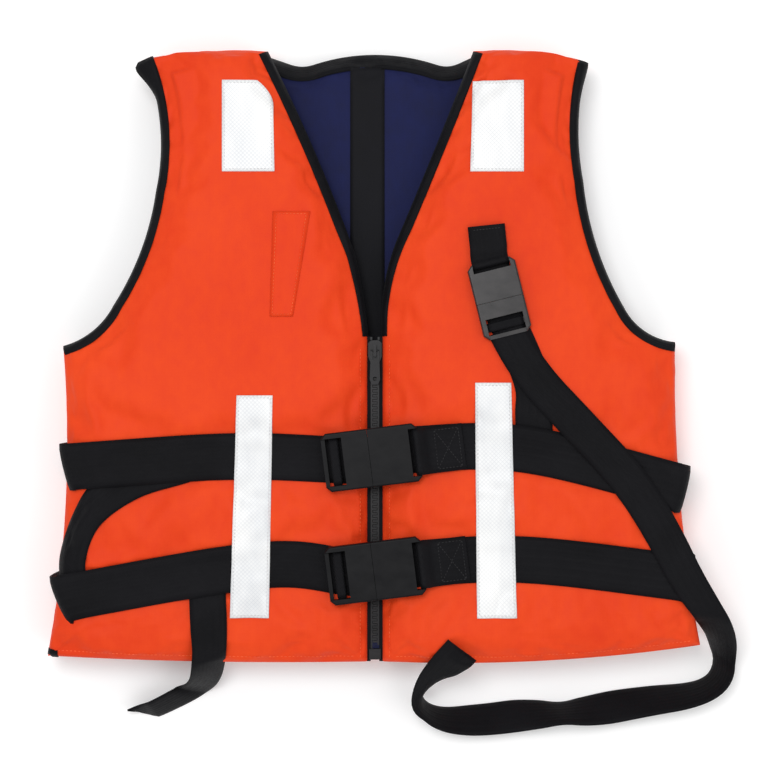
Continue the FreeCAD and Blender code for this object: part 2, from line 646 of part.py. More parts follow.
def make_buckles():
    """Three side release buckles; returns the waist sockets' sewn loops."""
    upper = Buckle(BELT_WIDTH, WAIST_BUCKLE_THICK, UPPER_BUCKLE, WAIST_BUCKLE_Z)
    lower = Buckle(BELT_WIDTH, WAIST_BUCKLE_THICK, LOWER_BUCKLE, WAIST_BUCKLE_Z)
    chest = Buckle(STRAP_WIDTH, CHEST_BUCKLE_THICK, CHEST_BUCKLE, CHEST_BUCKLE_Z)
    for name, item, fold in (("upper", upper, "upper_belt_fold"),
                             ("lower", lower, "lower_belt_fold"),
                             ("chest", chest, "chest_strap_fold")):
        save(item.socket(), name + "_buckle_socket")
        save(item.plug(), name + "_buckle_plug")
        save(item.latch(1), name + "_buckle_latch_a")
        save(item.latch(-1), name + "_buckle_latch_b")
        save(item.plug_fold(), fold)
    return upper.socket_fold(), lower.socket_fold(), chest.socket_fold()


def make_chest_tab(fold):
    """Square of webbing sewn to the chest, holding the socket's loop."""
    x, y, heading = CHEST_BUCKLE
    reach = SOCKET_LENGTH * STRAP_WIDTH
    half = STRAP_WIDTH / 2
    tab = block(-reach - TAB_BEHIND, -reach + TAB_UNDER, -half, half, 0, WEB_THICK)
    tab.rotate(Vector(0, 0, 0), Vector(0, 0, 1), heading)
    tab.translate(Vector(x, y, FRONT_TOP))
    return join([tab, fold])


def make_zip():
    tapes = [zip_tape(1), zip_tape(-1)]
    for name, side in (("left", 1), ("right", -1)):
        save(zip_tape(side), "zip_tape_" + name)
        save(zip_teeth(side), "zip_teeth_" + name)
    stops = []
    for s in (-1, 1):
        x0, x1 = sorted((s * 2.8, s * 4.8))
        stop = block(x0, x1, SLIDER_Y + SLIDER_HALF_LENGTH + 0.5,
                     SLIDER_Y + SLIDER_HALF_LENGTH + 3.5, TEETH_LOW, TEETH_HIGH)
        stops.append(cut_all(stop, tapes))
    save(Part.makeCompound(stops), "zip_top_stops")
    box, pin = zip_box_and_pin()
    save(cut_all(box, tapes), "zip_box")
    save(pin, "zip_pin")
    save(zip_slider(), "zip_slider")
    save(zip_pull(), "zip_pull")


def make_pocket():
    """Small flat pocket on the wearer's right chest, narrow at its opening."""
    edges = [
        line((-105, 148), (-66, 148)),
        line((-66, 148), (-78, 52)),
        arc((-78, 52), (-93, 38), (-108, 52)),
        line((-108, 52), (-105, 148)),
    ]
    face = Part.Face(Part.Wire(Part.__sortEdges__(edges)))
    save(raise_face(face, FRONT_TOP, FRONT_TOP + POCKET_THICK), "chest_pocket")


def report_route(name, points, width):
    stations, radii = webbing_path(points)
    length = sum((b[0] - a[0]).Length for a, b in zip(stations, stations[1:]))
    solid = webbing(points, width)
    print(name, "length", round(length), "smallest radius", round(min(radii), 1),
          "volume over section times length", round(solid.Volume / (length * width * WEB_THICK), 3))


def main():
    os.makedirs(PARTS_FOLDER, exist_ok=True)
    grooves = [back_run(left, right, BELT_WIDTH + 0.4, WEB_THICK + 0.1) for left, right in
               ((UPPER_BELT_LEFT, UPPER_BELT_RIGHT), (LOWER_BELT_LEFT, LOWER_BELT_RIGHT))]
    make_panels(grooves)
    upper_fold, lower_fold, chest_fold = make_buckles()
    upper_belt = join([belt(UPPER_BELT_LEFT, UPPER_BELT_RIGHT), upper_fold])
    lower_belt = join([belt(LOWER_BELT_LEFT, LOWER_BELT_RIGHT), lower_fold])
    save(upper_belt, "upper_belt")
    save(lower_belt, "lower_belt")
    belts = [upper_belt, lower_belt]
    make_reflectors(belts)
    save(make_chest_tab(chest_fold), "chest_tab")
    save(cut_all(webbing(CHEST_TAIL, STRAP_WIDTH), belts), "chest_strap_tail")
    save(webbing(LEG_STRAP_LEFT, STRAP_WIDTH, LEG_STRAP_LEFT_ROLL), "leg_strap_left")
    save(cut_all(webbing(LEG_STRAP_RIGHT, STRAP_WIDTH), belts), "leg_strap_right")
    save(cut_all(webbing(LEG_TAIL_RIGHT, STRAP_WIDTH), belts), "leg_strap_right_tail")
    make_zip()
    make_pocket()
    report_route("leg_strap_left", LEG_STRAP_LEFT, STRAP_WIDTH)
    report_route("leg_strap_right", LEG_STRAP_RIGHT, STRAP_WIDTH)
    report_route("leg_strap_right_tail", LEG_TAIL_RIGHT, STRAP_WIDTH)


main()
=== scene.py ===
"""Life jacket lying flat on its back: fabric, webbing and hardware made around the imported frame."""
import bpy
import math
import numpy as np
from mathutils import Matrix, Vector, noise
from mathutils.bvhtree import BVHTree


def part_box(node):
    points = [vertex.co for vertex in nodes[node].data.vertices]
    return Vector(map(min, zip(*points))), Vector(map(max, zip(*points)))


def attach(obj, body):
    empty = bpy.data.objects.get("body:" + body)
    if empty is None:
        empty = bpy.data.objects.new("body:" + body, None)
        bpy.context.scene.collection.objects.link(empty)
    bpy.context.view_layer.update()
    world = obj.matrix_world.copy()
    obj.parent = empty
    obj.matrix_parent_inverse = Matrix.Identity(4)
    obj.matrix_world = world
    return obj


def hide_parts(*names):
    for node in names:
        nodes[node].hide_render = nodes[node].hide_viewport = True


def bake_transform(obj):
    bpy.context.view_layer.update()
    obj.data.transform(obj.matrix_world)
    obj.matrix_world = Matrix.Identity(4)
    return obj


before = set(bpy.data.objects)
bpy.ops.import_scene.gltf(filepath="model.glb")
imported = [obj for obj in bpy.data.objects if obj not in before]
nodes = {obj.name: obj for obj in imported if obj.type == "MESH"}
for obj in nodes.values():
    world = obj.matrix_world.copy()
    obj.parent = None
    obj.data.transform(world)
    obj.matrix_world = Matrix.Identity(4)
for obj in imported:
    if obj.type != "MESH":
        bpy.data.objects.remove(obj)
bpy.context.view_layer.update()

MM = 0.001
TINY = 1e-12

# ---- heights, read from the frame ----
BACK_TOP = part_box("lining_back")[1][2]
FRONT_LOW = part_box("lining_front_left")[0][2]
FRONT_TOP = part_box("shell_front_left")[1][2]
BACK_SEAM = BACK_TOP / 2
FRONT_SEAM = (FRONT_LOW + FRONT_TOP) / 2
HALF_THICK = (FRONT_TOP - FRONT_LOW) / 2
WAIST_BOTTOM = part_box("upper_buckle_socket")[0][2]
WAIST_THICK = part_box("upper_buckle_socket")[1][2] - WAIST_BOTTOM
CHEST_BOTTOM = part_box("chest_buckle_socket")[0][2]
CHEST_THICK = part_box("chest_buckle_socket")[1][2] - CHEST_BOTTOM

# ---- cloth and webbing, metres ----
RIM_HALF = 1.6 * MM            # half thickness of a panel at its seam
CROWN_REACH = 34 * MM          # seam line to full thickness
PANEL_HEIGHT = 0.66
PANEL_WIDTH = 0.33             # of a front half, for the number of grid columns
BINDING_WIDTH = 8.8 * MM
BINDING_THICK = 0.9 * MM
BINDING_GAP = 0.7 * MM         # from a cover to the middle of the binding on it
BINDING_DEPTHS = (1.0, 0.72, 0.45, 0.22, 0.06, -0.09)          # in from the rim, of the width
WEB_THICK = 1.8 * MM
BELT_WIDTH = 48 * MM
STRAP_WIDTH = 38 * MM
WEB_COLUMNS = 9                # points across a strap or belt
STRAP_STEP = 5 * MM            # between the rows of a free strap
SKIN = 0.15 * MM               # gap between a band and what it lies on
TAPE_THICK = 0.6 * MM
POCKET_THICK = 0.8 * MM
TAB_FOOT = 37 * MM             # length of the chest tab behind the socket
TAB_TURN = math.radians(-8)    # the tab is sewn a little askew from the buckle
WALL_THICK = 1.2 * MM
WALL_COLUMNS = 11
THREAD_RADIUS = 0.38 * MM
THREAD_RISE = 0.35 * MM
BELT_CORNER = 10 * MM          # bend of a belt at the vest's side
BELT_LEAD = 10 * MM            # how far a belt goes on under its buckle
BELT_LOW = WEB_THICK / 2 + 0.1 * MM            # height of a belt's middle under the back
BELT_DENT = 2.2 * MM           # how far a belt presses the front in
PLUG_REACH = 104 * MM          # farthest from the zip that a released waist plug comes
SWELL_CAP = 5.5 * MM           # farthest that the cloth simulation moves a point
GRID_STEP = 6.0 * MM
GRID_EASE = 0.55               # how much closer the grid's lines lie near its borders
CLOTH_FRAMES = 18
CLOTH = {
    "quality": 4, "mass": 0.25, "tension_stiffness": 12, "compression_stiffness": 12,
    "shear_stiffness": 4, "bending_stiffness": 0.6, "use_pressure": True,
    "uniform_pressure_force": 3.2, "shrink_min": -0.035, "vertex_group_mass": "pins",
}

# ---- outlines of the seam line, as in the CAD model, in millimetres ----
HEM_Y = -317
LEFT = {
    "zip": (8, 20), "neck_turn": (13, 84), "neck_low": (24, 120), "neck_mid": (66, 221),
    "neck_top": (103, 315), "shoulder_mid": (160, 315), "shoulder": (219, 304),
    "arm_top_mid": (210, 240), "arm_top": (215, 180), "arm_mid": (231, 107),
    "arm_low": (257, 50), "underarm_mid": (280, 24), "underarm": (311, 13),
    "side_mid": (318, -165), "corner": (337, -300), "hem_mid": (180, -316), "hem": (8, HEM_Y),
}
RIGHT = {
    "zip": (-8, 20), "neck_turn": (-13, 62), "neck_low": (-22, 106), "neck_mid": (-60, 203),
    "neck_top": (-112, 315), "shoulder_mid": (-176, 315), "shoulder": (-238, 307),
    "arm_top_mid": (-221, 230), "arm_top": (-226, 170), "arm_mid": (-243, 105),
    "arm_low": (-270, 52), "underarm_mid": (-293, 24), "underarm": (-323, 9),
    "side_mid": (-321, -160), "corner": (-339, -311), "hem_mid": (-180, -317), "hem": (-8, HEM_Y),
}
SIDES = (("left", LEFT, 1), ("right", RIGHT, -1))
COLLAR_DIP = (77, 303)
COLLAR_TOP = (0, 318)

# ---- buckles: middle (x, y) in millimetres and turn in degrees, as in the CAD model ----
UPPER_PLACE = (-5, -105, 187)
LOWER_PLACE = (-1, -221, 187)
CHEST_PLACE = (127.8, 57.1, -76)

# ---- webbing on the vest: routes (x, y), as in the CAD model, in millimetres ----
UPPER_BELT_LEFT = [(22, -98), (150, -96), (325, -138)]
UPPER_BELT_RIGHT = [(-32, -108), (-150, -104), (-325, -115)]
LOWER_BELT_LEFT = [(26, -216), (150, -210), (330, -230)]
LOWER_BELT_RIGHT = [(-28, -224), (-120, -216), (-335, -252)]
CHEST_TAIL = [(136, 28), (161, -25), (163, -60), (164, -92)]
LEG_STRAP_RIGHT = [(-196, -112), (-252, -130), (-297, -163), (-316, -208), (-313, -252)]

# ---- corners, anticlockwise from the lower left, in millimetres ----
PATCHES = {
    "patch_left": [(98, 189), (153, 189), (153, 283), (101, 283)],
    "patch_right": [(-157, 189), (-103, 189), (-105, 283), (-157, 283)],
    "strip_left": [(105, -270), (146, -270), (140, -28), (103, -28)],
    "strip_right": [(-149, -270), (-109, -270), (-105, -41), (-142, -41)],
}
POCKET = [(-108, 40), (-84, 40), (-66, 148), (-105, 148)]

# ---- free straps (x, y, z), the CAD route in metres, and the lean of the width in degrees ----
LEG_STRAP_LEFT = [
    (0.134, 0.028, 0.0868), (0.153, -0.012, 0.0868), (0.209, -0.071, 0.0868),
    (0.259, -0.124, 0.0868), (0.294, -0.177, 0.0868), (0.318, -0.226, 0.0868),
    (0.344, -0.265, 0.0868), (0.359, -0.289, 0.058), (0.367, -0.310, 0.020),
    (0.371, -0.329, 0.008), (0.362, -0.348, 0.010), (0.336, -0.360, 0.016),
    (0.288, -0.366, 0.012), (0.228, -0.377, 0.008), (0.165, -0.380, 0.012),
    (0.110, -0.387, 0.010), (0.066, -0.386, 0.016), (0.044, -0.368, 0.024),
    (0.053, -0.344, 0.046), (0.074, -0.320, 0.076), (0.090, -0.303, 0.087),
]
LEG_STRAP_LEFT_LEAN = [(0, 0), (0.28, 0), (0.36, 24), (0.41, 42), (0.46, 52), (0.50, 62),
                       (0.55, 58), (0.60, 46), (0.66, 34), (0.70, 52), (0.715, 66), (0.73, 52),
                       (0.77, 34), (0.82, 40), (0.86, 60), (0.89, 78), (0.93, 55), (0.97, 25),
                       (1, 10)]
LEG_TAIL_RIGHT = [
    (-0.173, -0.228, 0.0849), (-0.170, -0.290, 0.0865), (-0.171, -0.317, 0.0805),
    (-0.178, -0.340, 0.046), (-0.194, -0.354, 0.010), (-0.217, -0.366, 0.001),
    (-0.238, -0.376, 0.001), (-0.259, -0.384, 0.001),
]
LEG_TAIL_RIGHT_LEAN = [(0, 0), (0.2, -8), (0.4, -34), (0.6, -50), (0.8, -54), (1, -58)]

# ---- camera: height and aim above the floor, picture width on the floor ----
CAMERA_HEIGHT = 2.3
SENSOR_WIDTH = 36
CAMERA_X = 9.4 * MM
CAMERA_Y = -29.3 * MM
PICTURE_WIDTH = 0.8204


# ================================================================ outlines
def arc_points(a, middle, b):
    """Points along the circle through three points, both ends included, 4 mm apart."""
    (ax, ay), (mx, my), (bx, by) = a, middle, b
    d = 2 * (ax * (my - by) + mx * (by - ay) + bx * (ay - my))
    sa, sm, sb = ax * ax + ay * ay, mx * mx + my * my, bx * bx + by * by
    cx = (sa * (my - by) + sm * (by - ay) + sb * (ay - my)) / d
    cy = (sa * (bx - mx) + sm * (ax - bx) + sb * (mx - ax)) / d
    radius = math.hypot(ax - cx, ay - cy)
    start = math.atan2(ay - cy, ax - cx)
    end = math.atan2(by - cy, bx - cx)
    turn = (end - start) % (2 * math.pi)
    via = (math.atan2(my - cy, mx - cx) - start) % (2 * math.pi)
    if via > turn:
        turn -= 2 * math.pi
    count = max(2, int(abs(turn) * radius / 4) + 1)
    angles = [start + turn * i / count for i in range(count + 1)]
    return [(cx + radius * math.cos(t), cy + radius * math.sin(t)) for t in angles]


def metres(points):
    return np.array(points, float) * MM


def unit(vectors):
    return vectors / np.maximum(np.linalg.norm(vectors, axis=-1, keepdims=True), TINY)


def chain(*stretches):
    """One polyline in metres from stretches that follow each other."""
    points = []
    for stretch in stretches:
        points += stretch if not points else stretch[1:]
    return metres(points)


EDGES = {
    "armhole": ("underarm", "underarm_mid", "arm_low", "arm_mid", "arm_top", "arm_top_mid",
                "shoulder"),
    "side": ("corner", "side_mid", "underarm"),
    "neck": ("zip", "neck_turn", "neck_low", "neck_mid", "neck_top"),
    "hem": ("hem", "hem_mid", "corner"),
    "shoulder": ("neck_top", "shoulder_mid", "shoulder"),
}


def panel_edge(p, name):
    """One border of a front panel, as arcs through its named points."""
    at = [p[key] for key in EDGES[name]]
    return chain(*[arc_points(*at[i:i + 3]) for i in range(0, len(at) - 2, 2)])


def join_lines(*lines):
    points = [lines[0]]
    points += [l[1:] for l in lines[1:]]
    return np.vstack(points)


def lengths(line):
    """Length of a polyline up to each of its points."""
    return np.concatenate([[0], np.cumsum(np.linalg.norm(np.diff(line, axis=0), axis=1))])


def line_length(line):
    return float(np.linalg.norm(np.diff(line, axis=0), axis=1).sum())


def resample(line, shares):
    """Points of a polyline at shares of its length."""
    length = lengths(line)
    at = np.asarray(shares) * length[-1]
    return np.stack([np.interp(at, length, line[:, k]) for k in range(line.shape[1])], axis=1)


def spaced(line, step):
    """The polyline with its points about a step apart."""
    return resample(line, np.linspace(0, 1, int(line_length(line) / step)))


def smooth_line(points, count=120):
    """Smooth curve that passes through given points (Catmull-Rom), evenly spaced."""
    p = np.asarray(points, float)
    p = np.vstack([2 * p[0] - p[1], p, 2 * p[-1] - p[-2]])
    out = []
    for i in range(1, len(p) - 2):
        for t in np.linspace(0, 1, 24, endpoint=False):
            a = 2 * p[i]
            b = p[i + 1] - p[i - 1]
            c = 2 * p[i - 1] - 5 * p[i] + 4 * p[i + 1] - p[i + 2]
            d = -p[i - 1] + 3 * p[i] - 3 * p[i + 1] + p[i + 2]
            out.append(0.5 * (a + b * t + c * t * t + d * t ** 3))
    out.append(p[-2])
    return resample(np.array(out), np.linspace(0, 1, count))


def eased(count):
    """Shares from 0 to 1, closer together near both ends."""
    t = np.linspace(0, 1, count + 1)
    return t - GRID_EASE * np.sin(2 * np.pi * t) / (2 * np.pi)


def smooth_step(share):
    return share * share * (3 - 2 * share)


def coons(bottom, top, left, right, nu, nv):
    """Grid of (x, y) that fills four border lines."""
    u, v = eased(nu), eased(nv)
    b, t = resample(bottom, u), resample(top, u)
    l, r = resample(left, v), resample(right, v)
    uu, vv = u[None, :, None], v[:, None, None]
    ruled = (1 - vv) * b[None] + vv * t[None] + (1 - uu) * l[:, None] + uu * r[:, None]
    corners = ((1 - uu) * (1 - vv) * b[0] + uu * (1 - vv) * b[-1]
               + (1 - uu) * vv * t[0] + uu * vv * t[-1])
    return ruled - corners


def distance_to(points, line):
    """Distance of each (x, y) to a polyline."""
    flat = points.reshape(-1, 2)
    best = np.full(len(flat), np.inf)
    for start, edge in zip(line[:-1], np.diff(line, axis=0)):
        share = np.clip(((flat - start) @ edge) / max(edge @ edge, TINY), 0, 1)
        gap = np.linalg.norm(flat - start - share[:, None] * edge, axis=1)
        best = np.minimum(best, gap)
    return best.reshape(points.shape[:-1])


# ================================================================ meshes
def make_mesh(name, vertices, faces, material, body="vest"):
    """Smooth-shaded object in one material; a piece made with no body is left unattached."""
    mesh = bpy.data.meshes.new(name)
    mesh.from_pydata([tuple(v) for v in vertices], [], faces)
    mesh.validate()
    mesh.update()
    obj = bpy.data.objects.new(name, mesh)
    bpy.context.scene.collection.objects.link(obj)
    mesh.polygons.foreach_set("use_smooth", [True] * len(mesh.polygons))
    mesh.materials.append(material)
    if body:
        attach(obj, body)
    return obj


def grid_faces(rows, columns, start=0, flip=False):
    faces = []
    for i in range(rows - 1):
        for j in range(columns - 1):
            a = start + i * columns + j
            quad = (a, a + 1, a + 1 + columns, a + columns)
            faces.append(quad[::-1] if flip else quad)
    return faces


def grid_border(rows, columns):
    """Indices round a grid, anticlockwise when rows go up and columns go right."""
    bottom = list(range(columns))
    right = [i * columns + columns - 1 for i in range(1, rows)]
    top = [(rows - 1) * columns + j for j in range(columns - 2, -1, -1)]
    left = [i * columns for i in range(rows - 2, 0, -1)]
    return bottom + right + top + left


def slab_faces(rows, columns):
    """Faces of an upper grid, a lower grid and the wall between their borders."""
    count = rows * columns
    border = grid_border(rows, columns)
    walls = [(b, a, a + count, b + count) for a, b in zip(border, border[1:] + border[:1])]
    return grid_faces(rows, columns) + grid_faces(rows, columns, count, flip=True) + walls


def grid_normals(grid):
    return unit(np.cross(np.gradient(grid, axis=1), np.gradient(grid, axis=0)))


def band(name, grid, thick, material, node, body="vest", edge=0.45):
    """Flat woven band from a grid of middle points (rows along, columns across).

    node is the CAD node that it stands for, if any, and edge is how thick its two long edges
    are, as a share of its thickness.
    """
    rows, columns = grid.shape[:2]
    taper = np.ones(columns)
    taper[0] = taper[-1] = edge
    offset = grid_normals(grid) * (thick / 2) * taper[None, :, None]
    vertices = np.vstack([(grid + offset).reshape(-1, 3), (grid - offset).reshape(-1, 3)])
    obj = make_mesh(name, vertices, slab_faces(rows, columns), material, body)
    for wall_face in obj.data.polygons[-len(grid_border(rows, columns)):]:
        wall_face.use_smooth = False
    store_weave(obj, grid)
    if node:
        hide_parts(node)
    return obj


def store_weave(obj, grid):
    """Keeps each point's place across and along the cloth for the weave."""
    rows, columns = grid.shape[:2]
    across = lengths(grid[rows // 2])
    place = np.zeros((rows, columns, 3))
    place[..., 0] = (across - across[-1] / 2)[None, :]
    place[..., 1] = lengths(grid[:, columns // 2])[:, None]
    flat = place.reshape(-1, 3)
    copies = len(obj.data.vertices) // len(flat)
    layer = obj.data.attributes.new("weave", "FLOAT_VECTOR", "POINT")
    layer.data.foreach_set("vector", np.tile(flat, (copies, 1)).ravel())


class Surface:
    """Height of everything laid so far, seen from above."""

    def __init__(self, *objects):
        self.vertices = []
        self.triangles = []
        self.tree = None
        for obj in objects:
            self.add(obj)

    def add(self, obj):
        base = len(self.vertices)
        obj.data.calc_loop_triangles()
        self.vertices += [v.co.copy() for v in obj.data.vertices]
        self.triangles += [tuple(i + base for i in t.vertices) for t in obj.data.loop_triangles]
        self.tree = None

    def height(self, x, y, default=0.0, below=False):
        """Highest point at (x, y), or the lowest one when looked at from below."""
        if self.tree is None:
            self.tree = BVHTree.FromPolygons(self.vertices, self.triangles)
        start, way = (-0.4, 1) if below else (0.4, -1)
        hit = self.tree.ray_cast(Vector((x, y, start)), Vector((0, 0, way)))
        return hit[0].z if hit[0] is not None else default

    def heights(self, grid, default=0.0, below=False):
        flat = grid.reshape(-1, grid.shape[-1])
        values = [self.height(p[0], p[1], default, below) for p in flat]
        return np.array(values).reshape(grid.shape[:-1])


def wrinkle(x, y, size, seed):
    """Smooth random value from -1 to 1; size is the wave length along x and y."""
    return noise.noise(Vector((x / size[0] + seed, y / size[1] - seed, seed * 1.7)))


def running_mean(values, reach):
    """Mean over a window of 2 * reach + 1 rows, ends held."""
    padded = np.concatenate([np.repeat(values[:1], reach, axis=0), values,
                             np.repeat(values[-1:], reach, axis=0)])
    window = np.ones(2 * reach + 1) / (2 * reach + 1)
    if values.ndim == 1:
        return np.convolve(padded, window, "valid")
    columns = [np.convolve(padded[:, k], window, "valid") for k in range(values.shape[1])]
    return np.stack(columns, axis=1)


# ================================================================ materials
class Shader:
    """Small helper that builds one procedural material."""

    def __init__(self, name, color, rough, sheen=0.0, specular=0.5):
        self.material = bpy.data.materials.new(name)
        self.material.use_nodes = True
        self.tree = self.material.node_tree
        self.bsdf = self.tree.nodes["Principled BSDF"]
        self.give(self.bsdf, {"Base Color": (*color, 1), "Roughness": rough,
                              "Specular IOR Level": specular, "Sheen Weight": sheen,
                              "Sheen Roughness": 0.4})
        self.position = self.node("ShaderNodeTexCoord").outputs["Object"]
        self.normal = None

    def give(self, node, values):
        """Sets inputs of a node: links what another node puts out, stores anything else."""
        for name, value in values.items():
            if isinstance(value, bpy.types.NodeSocket):
                self.tree.links.new(value, node.inputs[name])
            else:
                node.inputs[name].default_value = value

    def node(self, kind, values=None, **settings):
        made = self.tree.nodes.new(kind)
        for key, value in settings.items():
            setattr(made, key, value)
        self.give(made, values or {})
        return made

    def weave_place(self):
        return self.node("ShaderNodeAttribute", attribute_name="weave").outputs["Vector"]

    def noise(self, scale, detail=3.0, rough=0.55, source=None):
        place = self.node("ShaderNodeMapping", {"Scale": scale, "Vector": source or self.position})
        return self.node("ShaderNodeTexNoise", {
            "Scale": 1.0, "Detail": detail, "Roughness": rough,
            "Vector": place.outputs["Vector"]}).outputs["Fac"]

    def math(self, operation, *values):
        return self.node("ShaderNodeMath", dict(enumerate(values)), operation=operation).outputs[0]

    def axis(self, source, name):
        return self.node("ShaderNodeSeparateXYZ", {0: source}).outputs[name]

    def wave(self, value, pitch, shift=0.0):
        """Sine from 0 to 1 with the given pitch in metres."""
        turned = self.math("MULTIPLY", value, 2 * math.pi / pitch)
        if shift:
            turned = self.math("ADD", turned, shift)
        half = self.math("MULTIPLY", self.math("SINE", turned), 0.5)
        return self.math("ADD", half, 0.5)

    def ramp(self, value, low, high, ends="From"):
        """Low to high as 0 to 1, or with ends "To" 0 to 1 as low to high."""
        return self.node("ShaderNodeMapRange", {
            ends + " Min": low, ends + " Max": high, "Value": value}).outputs["Result"]

    def tint(self, value, dark, light):
        """Base colour from dark to light as value goes from 0 to 1."""
        mix = self.node("ShaderNodeMix", data_type="RGBA")
        self.give(mix, {"A": (*dark, 1), "B": (*light, 1), "Factor": value})
        self.give(self.bsdf, {"Base Color": mix.outputs["Result"]})

    def roughen(self, value, low, high):
        self.give(self.bsdf, {"Roughness": self.ramp(value, low, high, "To")})

    def bump(self, value, distance, strength=1.0):
        """Adds relief on top of the relief so far."""
        values = {"Distance": distance, "Strength": strength, "Height": value}
        if self.normal is not None:
            values["Normal"] = self.normal
        self.normal = self.node("ShaderNodeBump", values).outputs["Normal"]
        self.give(self.bsdf, {"Normal": self.normal})


def woven(name, dark, light, pitch, rough, sheen, depth):
    """Plain-weave cloth whose threads follow X and Y."""
    s = Shader(name, light, rough, sheen, specular=0.14)
    across = s.wave(s.axis(s.position, "X"), pitch)
    along = s.wave(s.axis(s.position, "Y"), pitch, math.pi / 2)
    cross = s.math("MULTIPLY", across, along)
    patchy = s.noise((9, 5, 9), 4)
    fine = s.noise((90, 60, 90), 3)
    fade = s.math("ADD", s.math("MULTIPLY", patchy, 0.65), s.math("MULTIPLY", fine, 0.35))
    s.tint(s.ramp(s.math("ADD", fade, s.math("MULTIPLY", cross, 0.10)), 0.28, 0.78), dark, light)
    s.roughen(fine, rough - 0.08, rough + 0.08)
    creases = s.noise((26, 7, 26), 5, 0.6)
    s.bump(creases, 1.1 * MM, 0.55)
    s.bump(cross, depth, 0.5)
    return s.material


def webbing_material(name, dark, light, rib=1.5 * MM, column=4.2 * MM, depth=0.22 * MM):
    """Ribbed nylon webbing; its ribs run in chevrons across the strap."""
    s = Shader(name, light, 0.60, sheen=0.015, specular=0.11)
    place = s.weave_place()
    across = s.axis(place, "X")
    along = s.axis(place, "Y")
    fold = s.math("PINGPONG", s.math("ADD", across, 0.2), column)
    slanted = s.math("ADD", along, s.math("MULTIPLY", fold, 0.5))
    ribs = s.wave(slanted, rib)
    columns = s.wave(across, column)
    fuzz = s.noise((400, 160, 400), 3, source=place)
    wear = s.noise((14, 14, 14), 4)
    shade = s.math("ADD", s.math("MULTIPLY", ribs, 0.35), s.math("MULTIPLY", wear, 0.65))
    s.tint(s.ramp(shade, 0.25, 0.85), dark, light)
    s.roughen(fuzz, 0.52, 0.74)
    s.bump(ribs, depth, 0.8)
    s.bump(columns, 0.16 * MM, 0.6)
    s.bump(fuzz, 0.08 * MM, 0.5)
    return s.material


def reflective_material():
    """White retroreflective tape: small sealed cells in a diamond grid."""
    s = Shader("reflective_tape", (0.86, 0.87, 0.88), 0.32, specular=0.6)
    x, y = s.axis(s.position, "X"), s.axis(s.position, "Y")
    one = s.wave(s.math("ADD", x, y), 4.2 * MM)
    two = s.wave(s.math("SUBTRACT", x, y), 4.2 * MM)
    cells = s.ramp(s.math("MAXIMUM", one, two), 0.86, 1.0)
    patchy = s.noise((30, 12, 30), 3)
    shade = s.math("SUBTRACT", s.ramp(patchy, 0.0, 0.7), s.math("MULTIPLY", cells, 0.45))
    s.tint(shade, (0.62, 0.64, 0.67), (0.93, 0.93, 0.92))
    s.roughen(patchy, 0.38, 0.55)
    s.bump(cells, 0.12 * MM, 0.6)
    s.bump(s.noise((60, 22, 60), 3), 0.6 * MM, 0.3)
    s.give(s.bsdf, {"Coat Weight": 0.10, "Coat Roughness": 0.3})
    return s.material


def plastic_material(name, dark, light, rough, specular=0.4):
    """Moulded plastic: fine spark grain and faint flow marks."""
    s = Shader(name, light, rough, specular=specular)
    grainy = s.noise((1500, 1500, 1500), 2)
    flow = s.noise((60, 90, 60), 3)
    s.tint(s.ramp(flow, 0.3, 0.7), dark, light)
    s.roughen(flow, rough - 0.07, rough + 0.09)
    s.bump(grainy, 0.05 * MM, 0.35)
    return s.material


def foam_material():
    s = Shader("foam", (0.80, 0.79, 0.74), 0.9)
    cells = s.noise((500, 500, 500), 3)
    s.tint(cells, (0.66, 0.65, 0.60), (0.84, 0.83, 0.78))
    s.bump(cells, 0.3 * MM, 0.6)
    return s.material


def floor_material():
    s = Shader("floor", (0.97, 0.97, 0.97), 0.75, specular=0.1)
    mottle = s.noise((3, 3, 3), 2)
    s.tint(mottle, (0.965, 0.965, 0.965), (0.975, 0.975, 0.975))
    s.give(s.bsdf, {"Emission Color": (1, 1, 1, 1), "Emission Strength": 0.12})
    return s.material


ORANGE = woven("orange_nylon", (0.705, 0.038, 0.0064), (0.835, 0.070, 0.0112),
               pitch=1.5 * MM, rough=0.60, sheen=0.02, depth=0.10 * MM)
NAVY = woven("navy_lining", (0.004, 0.005, 0.030), (0.011, 0.015, 0.075),
             pitch=1.6 * MM, rough=0.68, sheen=0.04, depth=0.12 * MM)
BLACK_CLOTH = woven("black_cloth", (0.003, 0.003, 0.004), (0.009, 0.009, 0.012),
                    pitch=1.4 * MM, rough=0.72, sheen=0.04, depth=0.14 * MM)
WEBBING = webbing_material("black_webbing", (0.002, 0.002, 0.0027), (0.0085, 0.0082, 0.0105))
BINDING = webbing_material("black_binding", (0.002, 0.002, 0.003), (0.007, 0.007, 0.009),
                           rib=1.1 * MM, column=2.6 * MM, depth=0.14 * MM)
REFLECTIVE = reflective_material()
BUCKLE = plastic_material("buckle_plastic", (0.003, 0.003, 0.004), (0.008, 0.008, 0.009),
                          rough=0.42, specular=0.12)
# The chest buckle is the same black plastic as the waist buckles; its lighter grey base colour is a
# painted highlight.
CHEST_BUCKLE_PAINTED_HIGHLIGHT = plastic_material("chest_buckle_plastic_painted_highlight", (0.012, 0.011, 0.012),
                                (0.030, 0.027, 0.028), rough=0.30, specular=0.34)
TEETH = plastic_material("zip_teeth", (0.006, 0.006, 0.007), (0.017, 0.017, 0.019),
                         rough=0.42, specular=0.25)
ENAMEL = plastic_material("zip_enamel", (0.006, 0.006, 0.007), (0.014, 0.014, 0.016),
                          rough=0.3, specular=0.16)
FOAM = foam_material()
ORANGE_THREAD = plastic_material("orange_thread", (0.75, 0.06, 0.012), (0.95, 0.16, 0.04), 0.6)
BLACK_THREAD = plastic_material("black_thread", (0.006, 0.006, 0.007), (0.03, 0.03, 0.033), 0.6)
